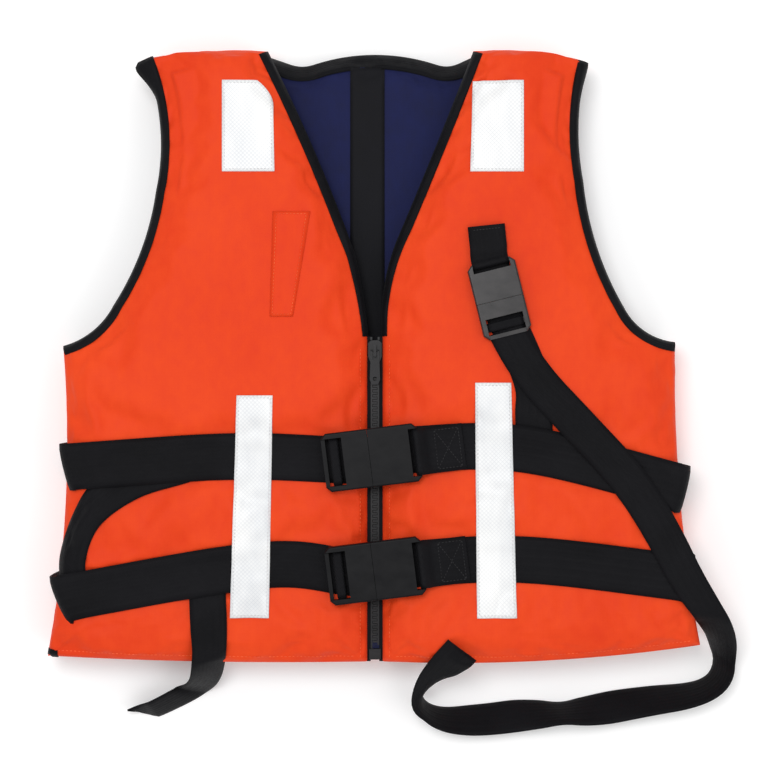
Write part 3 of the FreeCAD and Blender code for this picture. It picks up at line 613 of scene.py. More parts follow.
WHITE_THREAD = plastic_material("white_thread", (0.55, 0.55, 0.55), (0.80, 0.80, 0.80), 0.6)


# ================================================================ padded panels
def pillow(gap):
    """Share of the full thickness at a distance from the seam."""
    t = np.clip(gap / CROWN_REACH, 0, 1)
    return (1 - (1 - t) ** 2.3) ** 0.62


def belt_press(xy, beyond=9 * MM):
    """1 under a waist belt, falling to 0 at a distance beyond its edge."""
    press = np.zeros(xy.shape[:-1])
    for route in (UPPER_BELT_LEFT, UPPER_BELT_RIGHT, LOWER_BELT_LEFT, LOWER_BELT_RIGHT):
        gap = distance_to(xy, metres(route))
        press = np.maximum(press, np.clip((BELT_WIDTH / 2 + beyond - gap) / (14 * MM), 0, 1))
    return smooth_step(press)


class Pad:
    """One padded panel: grid of (x, y), top and bottom heights, seam in between."""

    def __init__(self, name, outline_lines, seam, nu, nv, front):
        bottom, top, left, right = outline_lines
        self.name = name
        self.seam = seam
        self.front = front
        self.xy = coons(bottom, top, left, right, nu, nv)
        border = join_lines(bottom, right, top[::-1], left[::-1])
        self.gap = distance_to(self.xy, border)
        self.press = belt_press(self.xy)
        share = pillow(self.gap)
        thick = RIM_HALF + (HALF_THICK - RIM_HALF) * share
        self.top = seam + thick
        self.bottom = seam - thick
        if front:
            self.top -= BELT_DENT * self.press * share
        else:
            self.bottom += (WEB_THICK + 0.3 * MM) * self.press

    def inflate(self):
        """Cloth simulation: the cover is cut a little large, so it swells and puckers."""
        self.rest()
        rows, columns = self.xy.shape[:2]
        count = rows * columns
        vertices = np.vstack([self.upper.reshape(-1, 3), self.lower.reshape(-1, 3)])
        mesh = bpy.data.meshes.new(self.name + "_cloth")
        mesh.from_pydata(vertices.tolist(), [], slab_faces(rows, columns))
        mesh.update()
        cloth = bpy.data.objects.new(self.name + "_cloth", mesh)
        bpy.context.scene.collection.objects.link(cloth)
        pins = cloth.vertex_groups.new(name="pins")
        gap = self.gap.ravel()
        press = self.press.ravel()
        for half, squeezed in ((0, self.front), (count, not self.front)):
            hold = np.where(gap < 2.5 * MM, 1.0, 0.0)
            if squeezed:
                hold = np.maximum(hold, 0.9 * press)
            if half and not self.front:
                hold = np.maximum(hold, np.where(gap > 20 * MM, 1.0, 0.0))
            for i in np.nonzero(hold > 0.02)[0]:
                pins.add([int(i) + half], float(hold[i]), "REPLACE")
        modifier = cloth.modifiers.new("Cloth", "CLOTH")
        for setting, value in CLOTH.items():
            setattr(modifier.settings, setting, value)
        modifier.settings.effector_weights.gravity = 0
        modifier.collision_settings.use_collision = False
        start = np.array([v.co[:] for v in mesh.vertices])
        scene = bpy.context.scene
        for step in range(1, CLOTH_FRAMES + 1):
            scene.frame_set(step)
        posed = cloth.evaluated_get(bpy.context.evaluated_depsgraph_get())
        end = np.array([v.co[:] for v in posed.data.vertices])
        scene.frame_set(1)
        bpy.data.objects.remove(cloth)
        move = end - start
        size = np.linalg.norm(move, axis=1, keepdims=True)
        move *= np.minimum(1, SWELL_CAP / np.maximum(size, TINY))
        self.upper = (start + move)[:count].reshape(rows, columns, 3)
        self.lower = (start + move)[count:].reshape(rows, columns, 3)

    def rest(self):
        self.upper = np.dstack([self.xy, self.top])
        self.lower = np.dstack([self.xy, self.bottom])

    def crease(self):
        """Small wrinkles that the simulation's grid is too coarse for, then the clearances."""
        away = np.clip(self.gap / (18 * MM), 0, 1)
        for i, j in np.ndindex(self.gap.shape):
            x, y = self.xy[i, j]
            long_fold = wrinkle(x, y, (0.020, 0.11), 3.1)
            soft = wrinkle(x, y, (0.065, 0.09), 7.7)
            pucker = wrinkle(x, y, (0.013, 0.013), 5.2) * (1 - away[i, j])
            lift = (0.55 * long_fold + 1.1 * soft) * away[i, j] + 0.75 * pucker
            self.upper[i, j, 2] += lift * MM * 0.9
            self.lower[i, j, 2] -= lift * MM * 0.5
        self.clear_foam()
        if self.front:
            self.clear_plugs()
        else:
            self.lower[..., 2] = np.maximum(self.lower[..., 2], 0.2 * MM)
            hollow = self.press * np.clip(self.gap / (10 * MM), 0, 1)
            self.lower[..., 2] = np.maximum(self.lower[..., 2], 2.1 * MM * hollow)

    def clear_plugs(self):
        """Keeps the cover and a belt on it below the way that the waist buckles' plugs slide."""
        near = np.clip((PLUG_REACH - np.abs(self.xy[..., 0])) / (8 * MM), 0, 1)
        near *= belt_press(self.xy, beyond=18 * MM)
        limit = WAIST_BOTTOM - WEB_THICK - 1.1 * MM
        self.upper[..., 2] -= near * np.maximum(0, self.upper[..., 2] - limit)

    def clear_foam(self):
        """Keeps both covers outside the foam sheets that fill the panel."""
        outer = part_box("foam_front_left_outer")[1][2] - FRONT_SEAM + 1.8 * MM
        inner = FRONT_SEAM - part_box("foam_front_left_inner")[0][2] + 2.2 * MM
        narrow = np.clip((self.gap - 16 * MM) / (5 * MM), 0, 1)
        wide = np.clip((self.gap - 7 * MM) / (4 * MM), 0, 1)
        over, under = (outer, inner) if self.front else (inner, outer)
        over_share, under_share = (narrow, wide) if self.front else (wide, narrow)
        floor_z = np.where(over_share > 0, self.seam + over * over_share, -1)
        roof_z = np.where(under_share > 0, self.seam - under * under_share, 1)
        self.upper[..., 2] = np.maximum(self.upper[..., 2], floor_z)
        self.lower[..., 2] = np.minimum(self.lower[..., 2], roof_z)

    def cover(self, name, node, upward):
        """Upper or lower cover, with a rim that reaches the seam; the outer one is orange."""
        rows, columns = self.xy.shape[:2]
        count = rows * columns
        border = grid_border(rows, columns)
        rim = self.upper.reshape(-1, 3)[border].copy()
        rim[:, 2] = self.seam
        faces = grid_faces(rows, columns, flip=not upward)
        for k, a in enumerate(border):
            after = (k + 1) % len(border)
            quad = (border[after], a, count + k, count + after)
            faces.append(quad if upward else (a, quad[0], quad[3], quad[2]))
        grid = self.upper if upward else self.lower
        outer = upward == self.front
        piece = make_mesh(name, np.vstack([grid.reshape(-1, 3), rim]), faces,
                          ORANGE if outer else NAVY)
        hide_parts(node)
        finer = piece.modifiers.new("Subdivision", "SUBSURF")
        finer.levels = finer.render_levels = 1
        return piece

    def build(self, top_name, top_node, low_name, low_node):
        """The upper and the lower cover, creased and clear of their neighbours."""
        self.inflate()
        self.crease()
        return (self.cover(top_name, top_node, upward=True),
                self.cover(low_name, low_node, upward=False))


def front_pad(side, p):
    middle = join_lines(metres([p["hem"], p["zip"]]), panel_edge(p, "neck"))
    outer = join_lines(panel_edge(p, "side"), panel_edge(p, "armhole"))
    bottom, top = panel_edge(p, "hem"), panel_edge(p, "shoulder")
    if side == "left":
        lines = (bottom, top, middle, outer)
    else:
        lines = (bottom[::-1], top[::-1], outer, middle)
    nu, nv = int(PANEL_WIDTH / GRID_STEP), int(PANEL_HEIGHT / GRID_STEP)
    return Pad("front_" + side, lines, FRONT_SEAM, nu, nv, front=True)


def collar_edge():
    """Collar from the right side of the neck to the left, its dips rounded off."""
    mirror_dip = (-COLLAR_DIP[0], COLLAR_DIP[1])
    line = join_lines(metres([RIGHT["neck_top"], mirror_dip]),
                      metres(arc_points(mirror_dip, COLLAR_TOP, COLLAR_DIP)),
                      metres([COLLAR_DIP, LEFT["neck_top"]]))
    line = resample(line, np.linspace(0, 1, 60))
    rounded = running_mean(line, 3)
    rounded[0], rounded[-1] = line[0], line[-1]
    return rounded


collar_line = collar_edge()


def back_pad():
    bottom = join_lines(panel_edge(RIGHT, "hem")[::-1], panel_edge(LEFT, "hem"))
    top = join_lines(panel_edge(RIGHT, "shoulder")[::-1], collar_line, panel_edge(LEFT, "shoulder"))
    left = join_lines(panel_edge(RIGHT, "side"), panel_edge(RIGHT, "armhole"))
    right = join_lines(panel_edge(LEFT, "side"), panel_edge(LEFT, "armhole"))
    step = GRID_STEP * 1.35    # little of the back is seen, so its grid is coarser
    nu, nv = int(2 * PANEL_WIDTH / step), int((PANEL_HEIGHT - 0.02) / step)
    return Pad("back", (bottom, top, left, right), BACK_SEAM, nu, nv, front=False)


pads = {"back": back_pad()}
back_top, back_low = pads["back"].build("back_lining_cloth", "lining_back",
                                        "back_shell_cloth", "shell_back")
tops, linings = {}, {}
for side, outline, _ in SIDES:
    pads[side] = front_pad(side, outline)
    tops[side], linings[side] = pads[side].build(
        "front_shell_cloth_" + side, "shell_front_" + side,
        "front_lining_cloth_" + side, "lining_front_" + side)

front_surface = Surface(tops["left"], tops["right"])
back_surface = Surface(back_top)
pad_surfaces = {"left": Surface(tops["left"], linings["left"]),
                "right": Surface(tops["right"], linings["right"]),
                "back": Surface(back_top, back_low)}


# ================================================================ edges: bindings and gussets
def side_of(line):
    """Unit vectors square to a polyline, on its left when followed from its start."""
    tangent = unit(np.gradient(line, axis=0))
    return np.stack([-tangent[:, 1], tangent[:, 0]], axis=1)


def bound_edge(name, line, inward, pad, node, width=BINDING_WIDTH, flare=0.0, first_width=None):
    """Tape folded round a panel's rim; inward is +1 when the panel is left of the line.

    flare is how far the tape stands out past the rim at the end of the line, and
    first_width is the tape's width at the start where it is sewn in narrower.
    """
    line = spaced(line, 4 * MM)
    ahead = np.linspace(line_length(line), 0, len(line))
    spread = flare * np.clip(1 - ahead / (44 * MM), 0, 1) ** 1.4
    spread *= 1 - 0.6 * np.exp(-ahead / (5 * MM))
    side = side_of(line) * inward
    surface = pad_surfaces[pad]
    seam = pads[pad].seam
    depths = np.array(BINDING_DEPTHS) * width
    growth = np.clip((line_length(line) - ahead) / (120 * MM), 0, 1)
    wide = (1 + ((first_width or width) / width - 1) * (1 - growth))[:, None]
    columns = []
    for below in (False, True):
        for depth in (depths if not below else depths[-2::-1]):
            place = line + side * depth * (wide if depth > 0 else 1)
            if depth < 0.1 * width:
                place = place - side * (spread * (1 if depth < 0 else 0.6))[:, None]
            if depth < 0:
                z = np.full(len(line), seam)
            else:
                probe = line + side * np.maximum(depth * wide, 0.9 * MM)
                z = surface.heights(probe, seam, below)
                z += -BINDING_GAP if below else BINDING_GAP
                if depth < 0.1 * width:
                    z = seam + (z - seam) * 0.7
                smooth = running_mean(z, 2)
                z = np.minimum(z, smooth) if below else np.maximum(z, smooth)
            columns.append(np.column_stack([place, np.maximum(z, BINDING_THICK)]))
    grid = np.stack(columns, axis=1)
    band(name, grid, BINDING_THICK, BINDING, node)


def wall(name, line, outward, material, node, bulge, inset, seed=1.0):
    """Upright cloth between the back panel's seam and the front panel's seam."""
    line = spaced(line, 5 * MM)
    side = side_of(line) * outward
    grid = np.zeros((len(line), WALL_COLUMNS, 3))
    for i, j in np.ndindex(grid.shape[:2]):
        share = j / (WALL_COLUMNS - 1)
        crease = wrinkle(line[i, 0] + line[i, 1], share * 0.05, (0.016, 0.03), seed)
        out = (bulge + 1.4 * MM * crease) * math.sin(math.pi * share) - inset
        grid[i, j, :2] = line[i] + side[i] * out
        grid[i, j, 2] = BACK_SEAM + (FRONT_SEAM - BACK_SEAM) * share
    band(name, grid, WALL_THICK, material, node, edge=1.0)


for side, outline, sign in SIDES:
    arm, neck = panel_edge(outline, "armhole"), panel_edge(outline, "neck")
    bound_edge("armhole_tape_front_" + side, arm, sign, side, "armhole_binding_" + side,
               flare=3 * MM if side == "left" else 18 * MM)
    bound_edge("armhole_tape_back_" + side, arm, sign, "back", "armhole_binding_" + side)
    bound_edge("neck_tape_" + side, neck, -sign, side, "neck_binding_" + side,
               first_width=4.5 * MM)
    low_arm = arm[arm[:, 1] < 42 * MM]
    wall("underarm_wall_" + side, low_arm, -sign, BLACK_CLOTH,
         "armhole_binding_" + side, bulge=0.5 * MM, inset=0.6 * MM)
    wall("side_panel_" + side, panel_edge(outline, "side"), -sign, ORANGE,
         "side_gusset_" + side, bulge=2.2 * MM, inset=0.4 * MM, seed=4.0 + sign)
    wall("shoulder_fold_" + side, panel_edge(outline, "shoulder"), sign, ORANGE,
         "shoulder_" + side, bulge=3.5 * MM, inset=0.4 * MM, seed=8.0 + sign)

corner_turn = join_lines(resample(panel_edge(RIGHT, "side"), np.linspace(0.028, 0, 6)),
                         resample(panel_edge(RIGHT, "hem"), np.linspace(1, 0.965, 6)))
bound_edge("hem_corner_tape", running_mean(corner_turn, 1), 1, "right", None, width=7 * MM)
bound_edge("collar_tape", collar_line, -1, "back", "collar_binding", width=16 * MM)


# ================================================================ webbing laid on the vest
def ribbon_grid(route, width, step=4 * MM, smooth=True):
    """Flat (x, y) grid of a strap that follows a route."""
    route = np.asarray(route, float)
    line = smooth_line(route, 200) if smooth else route
    count = max(4, int(line_length(line) / step) + 1)
    line = resample(line, np.linspace(0, 1, count))
    side = side_of(line)
    across = np.linspace(0.5, -0.5, WEB_COLUMNS) * width
    return line[:, None, :] + side[:, None, :] * across[None, :, None]


def drape(flat, thick=WEB_THICK, taut=3, lift=SKIN):
    """Puts a flat grid on what lies below it on the front; taut rows iron out the bumps."""
    z = front_surface.heights(flat, FRONT_TOP)
    wide = np.pad(z, 1, mode="edge")
    z = np.maximum.reduce([wide[i:i + z.shape[0], j:j + z.shape[1]]
                           for i in range(3) for j in range(3)])
    tight = running_mean(z, taut)
    z = running_mean(np.maximum(z, tight), 1)
    return np.dstack([flat, z + thick / 2 + lift])


def chest_strap_end():
    """Short tail of the chest strap, from under the plug to under the upper belt."""
    route = metres(CHEST_TAIL)
    route[0] += np.array([-4, 16]) * MM        # the tail goes on under the plug
    piece = band("chest_strap_end", drape(ribbon_grid(route, STRAP_WIDTH)), WEB_THICK, WEBBING,
                 "chest_strap_tail", body=None)
    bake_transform(piece)
    return piece


def right_side_strap():
    """Strap along the wearer's right side; its outer edge hangs over the vest's side."""
    grid = drape(ribbon_grid(metres(LEG_STRAP_RIGHT), STRAP_WIDTH))
    middle = grid[:, WEB_COLUMNS // 2, :2]
    bend_from, bend_over = 278 * MM, 32 * MM
    hang = smooth_step(np.clip((np.abs(middle[:, 0]) - bend_from) / bend_over, 0, 1))[:, None]
    for column in range(WEB_COLUMNS):
        outward = (grid[:, column, :2] - middle).copy()
        if outward[-1, 0] < 0:
            reach = np.linalg.norm(outward, axis=1, keepdims=True)
            grid[:, column, :2] -= outward * 0.48 * hang
            grid[:, column, 2] -= (reach * 0.70 * hang)[:, 0]
    ground = running_mean(front_surface.heights(grid, 0.0), 1)
    grid[..., 2] = np.maximum(grid[..., 2], ground + WEB_THICK / 2 + SKIN)
    return band("right_leg_strap", grid, WEB_THICK, WEBBING, "leg_strap_right")


front_surface.add(chest_strap_end())
front_surface.add(right_side_strap())


# ---------------------------------------------------------------- free straps
def strap_line(points):
    """Evenly spaced points of the spline that the given points control."""
    data = bpy.data.curves.new("route", "CURVE")
    data.dimensions = "3D"
    spline = data.splines.new("NURBS")
    spline.points.add(len(points) - 1)
    for point, place in zip(spline.points, points):
        point.co = (*place, 1)
    spline.order_u = 3
    spline.use_endpoint_u = True
    spline.resolution_u = 24
    holder = bpy.data.objects.new("route", data)
    mesh = bpy.data.meshes.new_from_object(holder)
    line = np.array([v.co[:] for v in mesh.vertices])
    bpy.data.objects.remove(holder)
    bpy.data.meshes.remove(mesh)
    bpy.data.curves.remove(data)
    return spaced(line, STRAP_STEP)


def free_strap(name, points, lean, node, cut=0.0, body="vest"):
    """Webbing strap that leaves the vest and lies on the floor; cut slants its free end."""
    line = strap_line(points)
    shares = np.linspace(0, 1, len(line))
    lean_at, lean_degrees = zip(*lean)
    leans = np.radians(running_mean(np.interp(shares, lean_at, lean_degrees), 2))
    direction = unit(np.gradient(line, axis=0))
    level = unit(running_mean(unit(np.cross([0, 0, 1], direction)), 1))
    normal = np.cross(direction, level)
    across = level * np.cos(leans)[:, None] + normal * np.sin(leans)[:, None]
    offsets = np.linspace(0.5, -0.5, WEB_COLUMNS) * STRAP_WIDTH
    cup = 0.9 * MM * (1 - (2 * offsets / STRAP_WIDTH) ** 2)
    up = np.cross(direction, across)
    left_over = line_length(line) * (1 - shares)
    spread = np.tile(offsets, (len(line), 1))
    if cut:
        limit = (left_over / cut - 0.5) * STRAP_WIDTH
        spread = np.minimum(spread, np.maximum(limit, -0.47 * STRAP_WIDTH)[:, None]
                            + np.linspace(0, -0.2, WEB_COLUMNS)[None, :] * MM)
    grid = line[:, None] + across[:, None] * spread[:, :, None]
    grid = grid + up[:, None] * cup[None, :, None]
    lain = drape(grid[..., :2])[..., 2]
    rest_height = points[0][2]
    on_vest = np.clip((line[:, 2] - rest_height + 10 * MM) / (8 * MM), 0, 1)[:, None]
    grid[..., 2] = on_vest * lain + (1 - on_vest) * grid[..., 2]
    for i, j in np.ndindex(grid.shape[:2]):
        grid[i, j, 2] += 0.6 * MM * wrinkle(i * STRAP_STEP, offsets[j], (0.07, 0.05), 2.3)
    lowest = grid[..., 2].min(axis=1) - WEB_THICK / 2
    grid[..., 2] += np.maximum(0, SKIN - lowest)[:, None]
    piece = band(name, grid, WEB_THICK, WEBBING, node, body)
    return piece


front_surface.add(free_strap("right_leg_strap_end", LEG_TAIL_RIGHT, LEG_TAIL_RIGHT_LEAN,
                             "leg_strap_right_tail", cut=26 * MM))


# ---------------------------------------------------------------- waist belts
class Lock:
    """One buckle's webbing, in its own axes: +X is the plug's way out."""

    def __init__(self, web, thick, place, bottom):
        self.web = web
        self.thick = thick
        self.x, self.y = place[0] * MM, place[1] * MM
        self.turn = math.radians(place[2])
        self.bottom = bottom
        self.socket_end = -1.07 * web
        self.plug_end = 1.0 * web

    def world(self, along, across, z):
        c, s = math.cos(self.turn), math.sin(self.turn)
        return (self.x + along * c - across * s, self.y + along * s + across * c, z)

    def grid(self, profile):
        """Band grid from (along, height above the floor) points, straight across."""
        across = np.linspace(0.5, -0.5, WEB_COLUMNS) * self.web
        return np.array([[self.world(along, w, z) for w in across]
                         for along, z in smooth_line(profile, 60)])

    def ground(self):
        """Height of the front where the webbing of the socket is sewn down."""
        return front_surface.height(*self.world(self.socket_end - 20 * MM, 0, 0)[:2], FRONT_TOP)

    def socket_loop(self, under, foot=46 * MM):
        """Doubled webbing sewn on a belt: over the bar, back through the slot and down."""
        end, t = self.socket_end, WEB_THICK
        bar_top = self.bottom + self.thick - 3 * MM + t / 2
        bar_low = self.bottom + 3 * MM - t / 2
        bar_in = end + 4 * MM + t / 2
        second = under + 1.5 * t + 0.3 * MM
        first = under + 0.5 * t + 0.2 * MM
        return [(end - foot, second), (end - foot * 0.6, second), (end - 12 * MM, second + 1 * MM),
                (end - 4 * MM, bar_top - 3 * MM), (end + 0.5 * MM, bar_top),
                (bar_in - 1.5 * MM, bar_top), (bar_in + 0.2 * MM, bar_top - 3 * MM),
                (bar_in, bar_low + 2 * MM), (bar_in - 2 * MM, bar_low),
                (end - 3 * MM, first + 0.6 * MM), (end - 14 * MM, first)]

    def plug_ring(self):
        """Webbing round the plug's middle bar, its two ends lapped below."""
        t = WEB_THICK
        x0, x1 = self.plug_end - 15.5 * MM - t / 2, self.plug_end - 9.5 * MM + t / 2
        z0 = self.bottom + 3.6 * MM - t / 2
        z1 = self.bottom + self.thick - 3.6 * MM + t / 2
        middle = (x0 + x1) / 2
        return [(middle, z0 - 0.3 * MM), (x1 - 1 * MM, z0), (x1, z0 + 1.6 * MM),
                (x1, z1 - 1.6 * MM), (x1 - 1.2 * MM, z1), (x0 + 1.2 * MM, z1),
                (x0, z1 - 1.6 * MM), (x0, z0 + 1.6 * MM), (x0 + 1 * MM, z0 + 0.1 * MM),
                (middle, z0 + 0.1 * MM)]


upper_lock = Lock(BELT_WIDTH, WAIST_THICK, UPPER_PLACE, WAIST_BOTTOM)
lower_lock = Lock(BELT_WIDTH, WAIST_THICK, LOWER_PLACE, WAIST_BOTTOM)
chest_lock = Lock(STRAP_WIDTH, CHEST_THICK, CHEST_PLACE, CHEST_BOTTOM)


def tuck(w, slant):
    """How far a point of the belt is tucked in, w above its middle line."""
    return slant * (0.5 - w / BELT_WIDTH) ** 1.4


def front_run(route, slant):
    """Half of a waist belt on the front, from the buckle out to the side."""
    route = metres(route)
    sign = math.copysign(1, route[-1][0])
    route[0, 0] -= sign * BELT_LEAD
    flat = ribbon_grid(route, BELT_WIDTH, step=5 * MM)
    grid = drape(flat, taut=2)
    edge_x = abs(route[-1][0])
    dip_reach = 45 * MM
    near = np.clip((np.abs(flat[..., 0]) - edge_x + dip_reach) / dip_reach, 0, 1)
    span = FRONT_TOP + WEB_THICK / 2 - 4.5 * MM * near ** 2
    grid[..., 2] = np.where(near > 0, np.maximum(span, grid[..., 2]), grid[..., 2])
    keep = np.abs(flat[:, WEB_COLUMNS // 2, 0]) < edge_x - BELT_CORNER
    upward = sign * BELT_WIDTH / 2 * np.linspace(1, -1, WEB_COLUMNS)
    grid[..., 0] -= sign * tuck(upward, slant)[None, :] * near ** 2
    return grid[keep]


def side_run(last_row, sign, edge_x, end_y, slant):
    """Rows that bend down at the side, drop to the floor and bend under the back.

    slant is how far the lower edge of the belt is tucked in at the bend.
    """
    top = float(last_row[:, 2].mean())
    outer = edge_x + WEB_THICK / 2
    r = BELT_CORNER
    across = np.linspace(0.5, -0.5, WEB_COLUMNS) * BELT_WIDTH
    bend = [math.radians(a) for a in (20, 40, 60, 80)]
    places = [(outer - r + r * math.sin(a), top - r + r * math.cos(a)) for a in bend]
    places += [(outer + 0.8 * MM * math.sin(math.pi * s), top - r - s * (top - 2 * r))
               for s in np.linspace(0.02, 0.98, 9)]
    places += [(outer - r + r * math.cos(a), r - (r - BELT_LOW) * math.sin(a)) for a in bend]
    return np.array([[(sign * (x - tuck(w, slant)), end_y + w, z) for w in across]
                     for x, z in places])


def waist_belt(name, lock, left, right, node, slants):
    """One belt: from under the socket round the back to the plug, and the socket's loop."""
    left_front = front_run(left, slants[0])
    right_front = front_run(right, slants[1])
    lx, ly = left[-1][0] * MM, left[-1][1] * MM
    rx, ry = right[-1][0] * MM, right[-1][1] * MM
    loop = lock.grid(lock.socket_loop(lock.ground() + WEB_THICK + 0.3 * MM))
    band(name + "_loop", loop, WEB_THICK, WEBBING, node)
    left_side = side_run(left_front[-1], 1, abs(lx), ly, slants[0])
    right_side = side_run(right_front[-1], -1, abs(rx), ry, slants[1])
    back = np.zeros((60, WEB_COLUMNS, 3))
    across = np.linspace(0.5, -0.5, WEB_COLUMNS) * BELT_WIDTH
    back_left, back_right = lx - BELT_CORNER, rx + BELT_CORNER
    for i, share in enumerate(np.linspace(0, 1, len(back))):
        x = back_left + (back_right - back_left) * share
        y = ly + (ry - ly) * share
        back[i] = [(x, y + w, BELT_LOW) for w in across]
    grid = np.concatenate([left_front, left_side, back, right_side[::-1],
                           right_front[::-1, ::-1]])
    return band(name, grid, WEB_THICK, WEBBING, node)


upper_belt = waist_belt("upper_waist_belt", upper_lock, UPPER_BELT_LEFT, UPPER_BELT_RIGHT,
                        "upper_belt", (11 * MM, 11 * MM))
lower_belt = waist_belt("lower_waist_belt", lower_lock, LOWER_BELT_LEFT, LOWER_BELT_RIGHT,
                        "lower_belt", (6 * MM, 19 * MM))
front_surface.add(upper_belt)
front_surface.add(lower_belt)

for lock, body, node in ((upper_lock, "upper_plug", "upper_belt_fold"),
                         (lower_lock, "lower_plug", "lower_belt_fold"),
                         (chest_lock, "chest_plug", "chest_strap_fold")):
    band(node + "_loop", lock.grid(lock.plug_ring()), WEB_THICK, WEBBING, node, body)


# ---------------------------------------------------------------- chest tab
def askew(grid, lock):
    """Turns the part of a band behind the socket's end a little about that end."""
    hinge_x, hinge_y = lock.world(lock.socket_end, 0, 0)[:2]
    for row in grid:
        middle = row[len(row) // 2]
        behind = -((middle[0] - hinge_x) * math.cos(lock.turn)
                   + (middle[1] - hinge_y) * math.sin(lock.turn))
        turn = TAB_TURN * min(1.0, max(0.0, behind / (14 * MM)))
        c, s = math.cos(turn), math.sin(turn)
        x, y = row[:, 0] - hinge_x, row[:, 1] - hinge_y
        row[:, 0], row[:, 1] = hinge_x + c * x - s * y, hinge_y + s * x + c * y
    return grid


def chest_tab(lock):
    """Square tab that holds the chest socket: a loop round its bar on a flat base."""
    under, end = lock.ground(), lock.socket_end
    loop = lock.socket_loop(under + WEB_THICK + 0.2 * MM, foot=TAB_FOOT)
    loop.append((end - TAB_FOOT, loop[-1][1]))
    loop_grid = askew(lock.grid(loop), lock)
    band("chest_strap_tab", loop_grid, WEB_THICK, WEBBING, "chest_tab")
    z = under + WEB_THICK / 2 + 0.1 * MM
    base = [(end - TAB_FOOT + 1 * MM, z), (end - 16 * MM, z), (end, z), (end + 14 * MM, z)]
    band("chest_strap_tab_base", askew(lock.grid(base), lock), WEB_THICK, WEBBING, "chest_tab")
    return loop_grid


tab_grid = chest_tab(chest_lock)


# ================================================================ reflective tape and pocket
def quad_grid(corners, step=4 * MM):
    """(x, y) grid inside four corners given anticlockwise from the lower left, in mm."""
    a, b, c, d = metres(corners)
    nu = int(np.linalg.norm(b - a) / step) + 2
    nv = int(np.linalg.norm(d - a) / step) + 2
    u = np.linspace(0, 1, nu)[None, :, None]
    v = np.linspace(0, 1, nv)[:, None, None]
    return (1 - u) * (1 - v) * a + u * (1 - v) * b + u * v * c + (1 - u) * v * d


tapes = {}
for name, corners in PATCHES.items():
    flat = quad_grid(corners, step=3 * MM)
    if name == "patch_right":
        cut = np.clip((flat[:, -1:, 1] - 256 * MM) / (27 * MM), 0, 1) ** 2.2
        share = np.linspace(0, 1, flat.shape[1])[None, :]
        flat[..., 0] -= 16 * MM * cut * share
    tapes[name] = drape(flat, TAPE_THICK, taut=1, lift=0.3 * MM)
    front_surface.add(band("reflective_" + name + "_tape", tapes[name], TAPE_THICK, REFLECTIVE,
                           "reflective_" + name, edge=0.7))

pocket_grid = drape(quad_grid(POCKET), POCKET_THICK, taut=1)
across_pocket = np.linspace(0, 1, pocket_grid.shape[1])[None, :]
for rise, at, reach in ((1.3 * MM, 0.25, 0.10), (0.8 * MM, 0.80, 0.09)):
    pocket_grid[..., 2] += rise * np.exp(-((across_pocket - at) / reach) ** 2)
band("chest_pocket_cloth", pocket_grid, POCKET_THICK, ORANGE, "chest_pocket",
     edge=0.2)

leg_strap = free_strap("left_leg_strap", LEG_STRAP_LEFT, LEG_STRAP_LEFT_LEAN, "leg_strap_left",
                       body=None)
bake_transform(leg_strap)

strip = ribbon_grid([(-8 * MM, -292 * MM), (-8 * MM, 303 * MM)], 36 * MM, smooth=False)
strip = np.dstack([strip, back_surface.heights(strip, BACK_TOP) + 0.7 * MM])
band("lining_centre_band", strip, 1.0 * MM, BLACK_CLOTH, "lining_centre_strip")


# ================================================================ stitches
class Stitches:
    """Many small thread stitches gathered in one mesh."""

    def __init__(self):
        self.vertices = []
        self.faces = []

    def add(self, a, b):
        """One stitch from a to b: a low six-sided arch of thread."""
        a, b = np.array(a), np.array(b)
        way = unit(b - a)
        side = unit(np.cross([0, 0, 1], way))
        up = np.cross(way, side)
        base = len(self.vertices)
        stations = ((0.0, -0.2, 0.45), (0.3, 0.8, 1.0), (0.7, 0.8, 1.0), (1.0, -0.2, 0.45))
        for share, lift, size in stations:
            centre = a + (b - a) * share + up * THREAD_RISE * lift
            for k in range(6):
                angle = k * math.pi / 3
                self.vertices.append(centre + (side * math.cos(angle) + up * math.sin(angle))
                                     * THREAD_RADIUS * size)
        for ring in range(len(stations) - 1):
            for k in range(6):
                p = base + ring * 6 + k
                q = base + ring * 6 + (k + 1) % 6
                self.faces.append((p, q, q + 6, p + 6))
        self.faces.append(tuple(base + k for k in range(5, -1, -1)))
        top = base + 6 * (len(stations) - 1)
        self.faces.append(tuple(top + k for k in range(6)))

    def line(self, points, pitch=3.6 * MM):
        """Row of stitches along a 3-D polyline, with gaps of a third between them."""
        points = np.asarray(points, float)
        count = max(1, int(line_length(points) / pitch))
        starts = resample(points, (np.arange(count) + 0.16) / count)
        ends = resample(points, (np.arange(count) + 0.84) / count)
        for a, b in zip(starts, ends):
            self.add(a, b)

    def build(self, name, material, slot):
        make_mesh(name, self.vertices, self.faces, material)


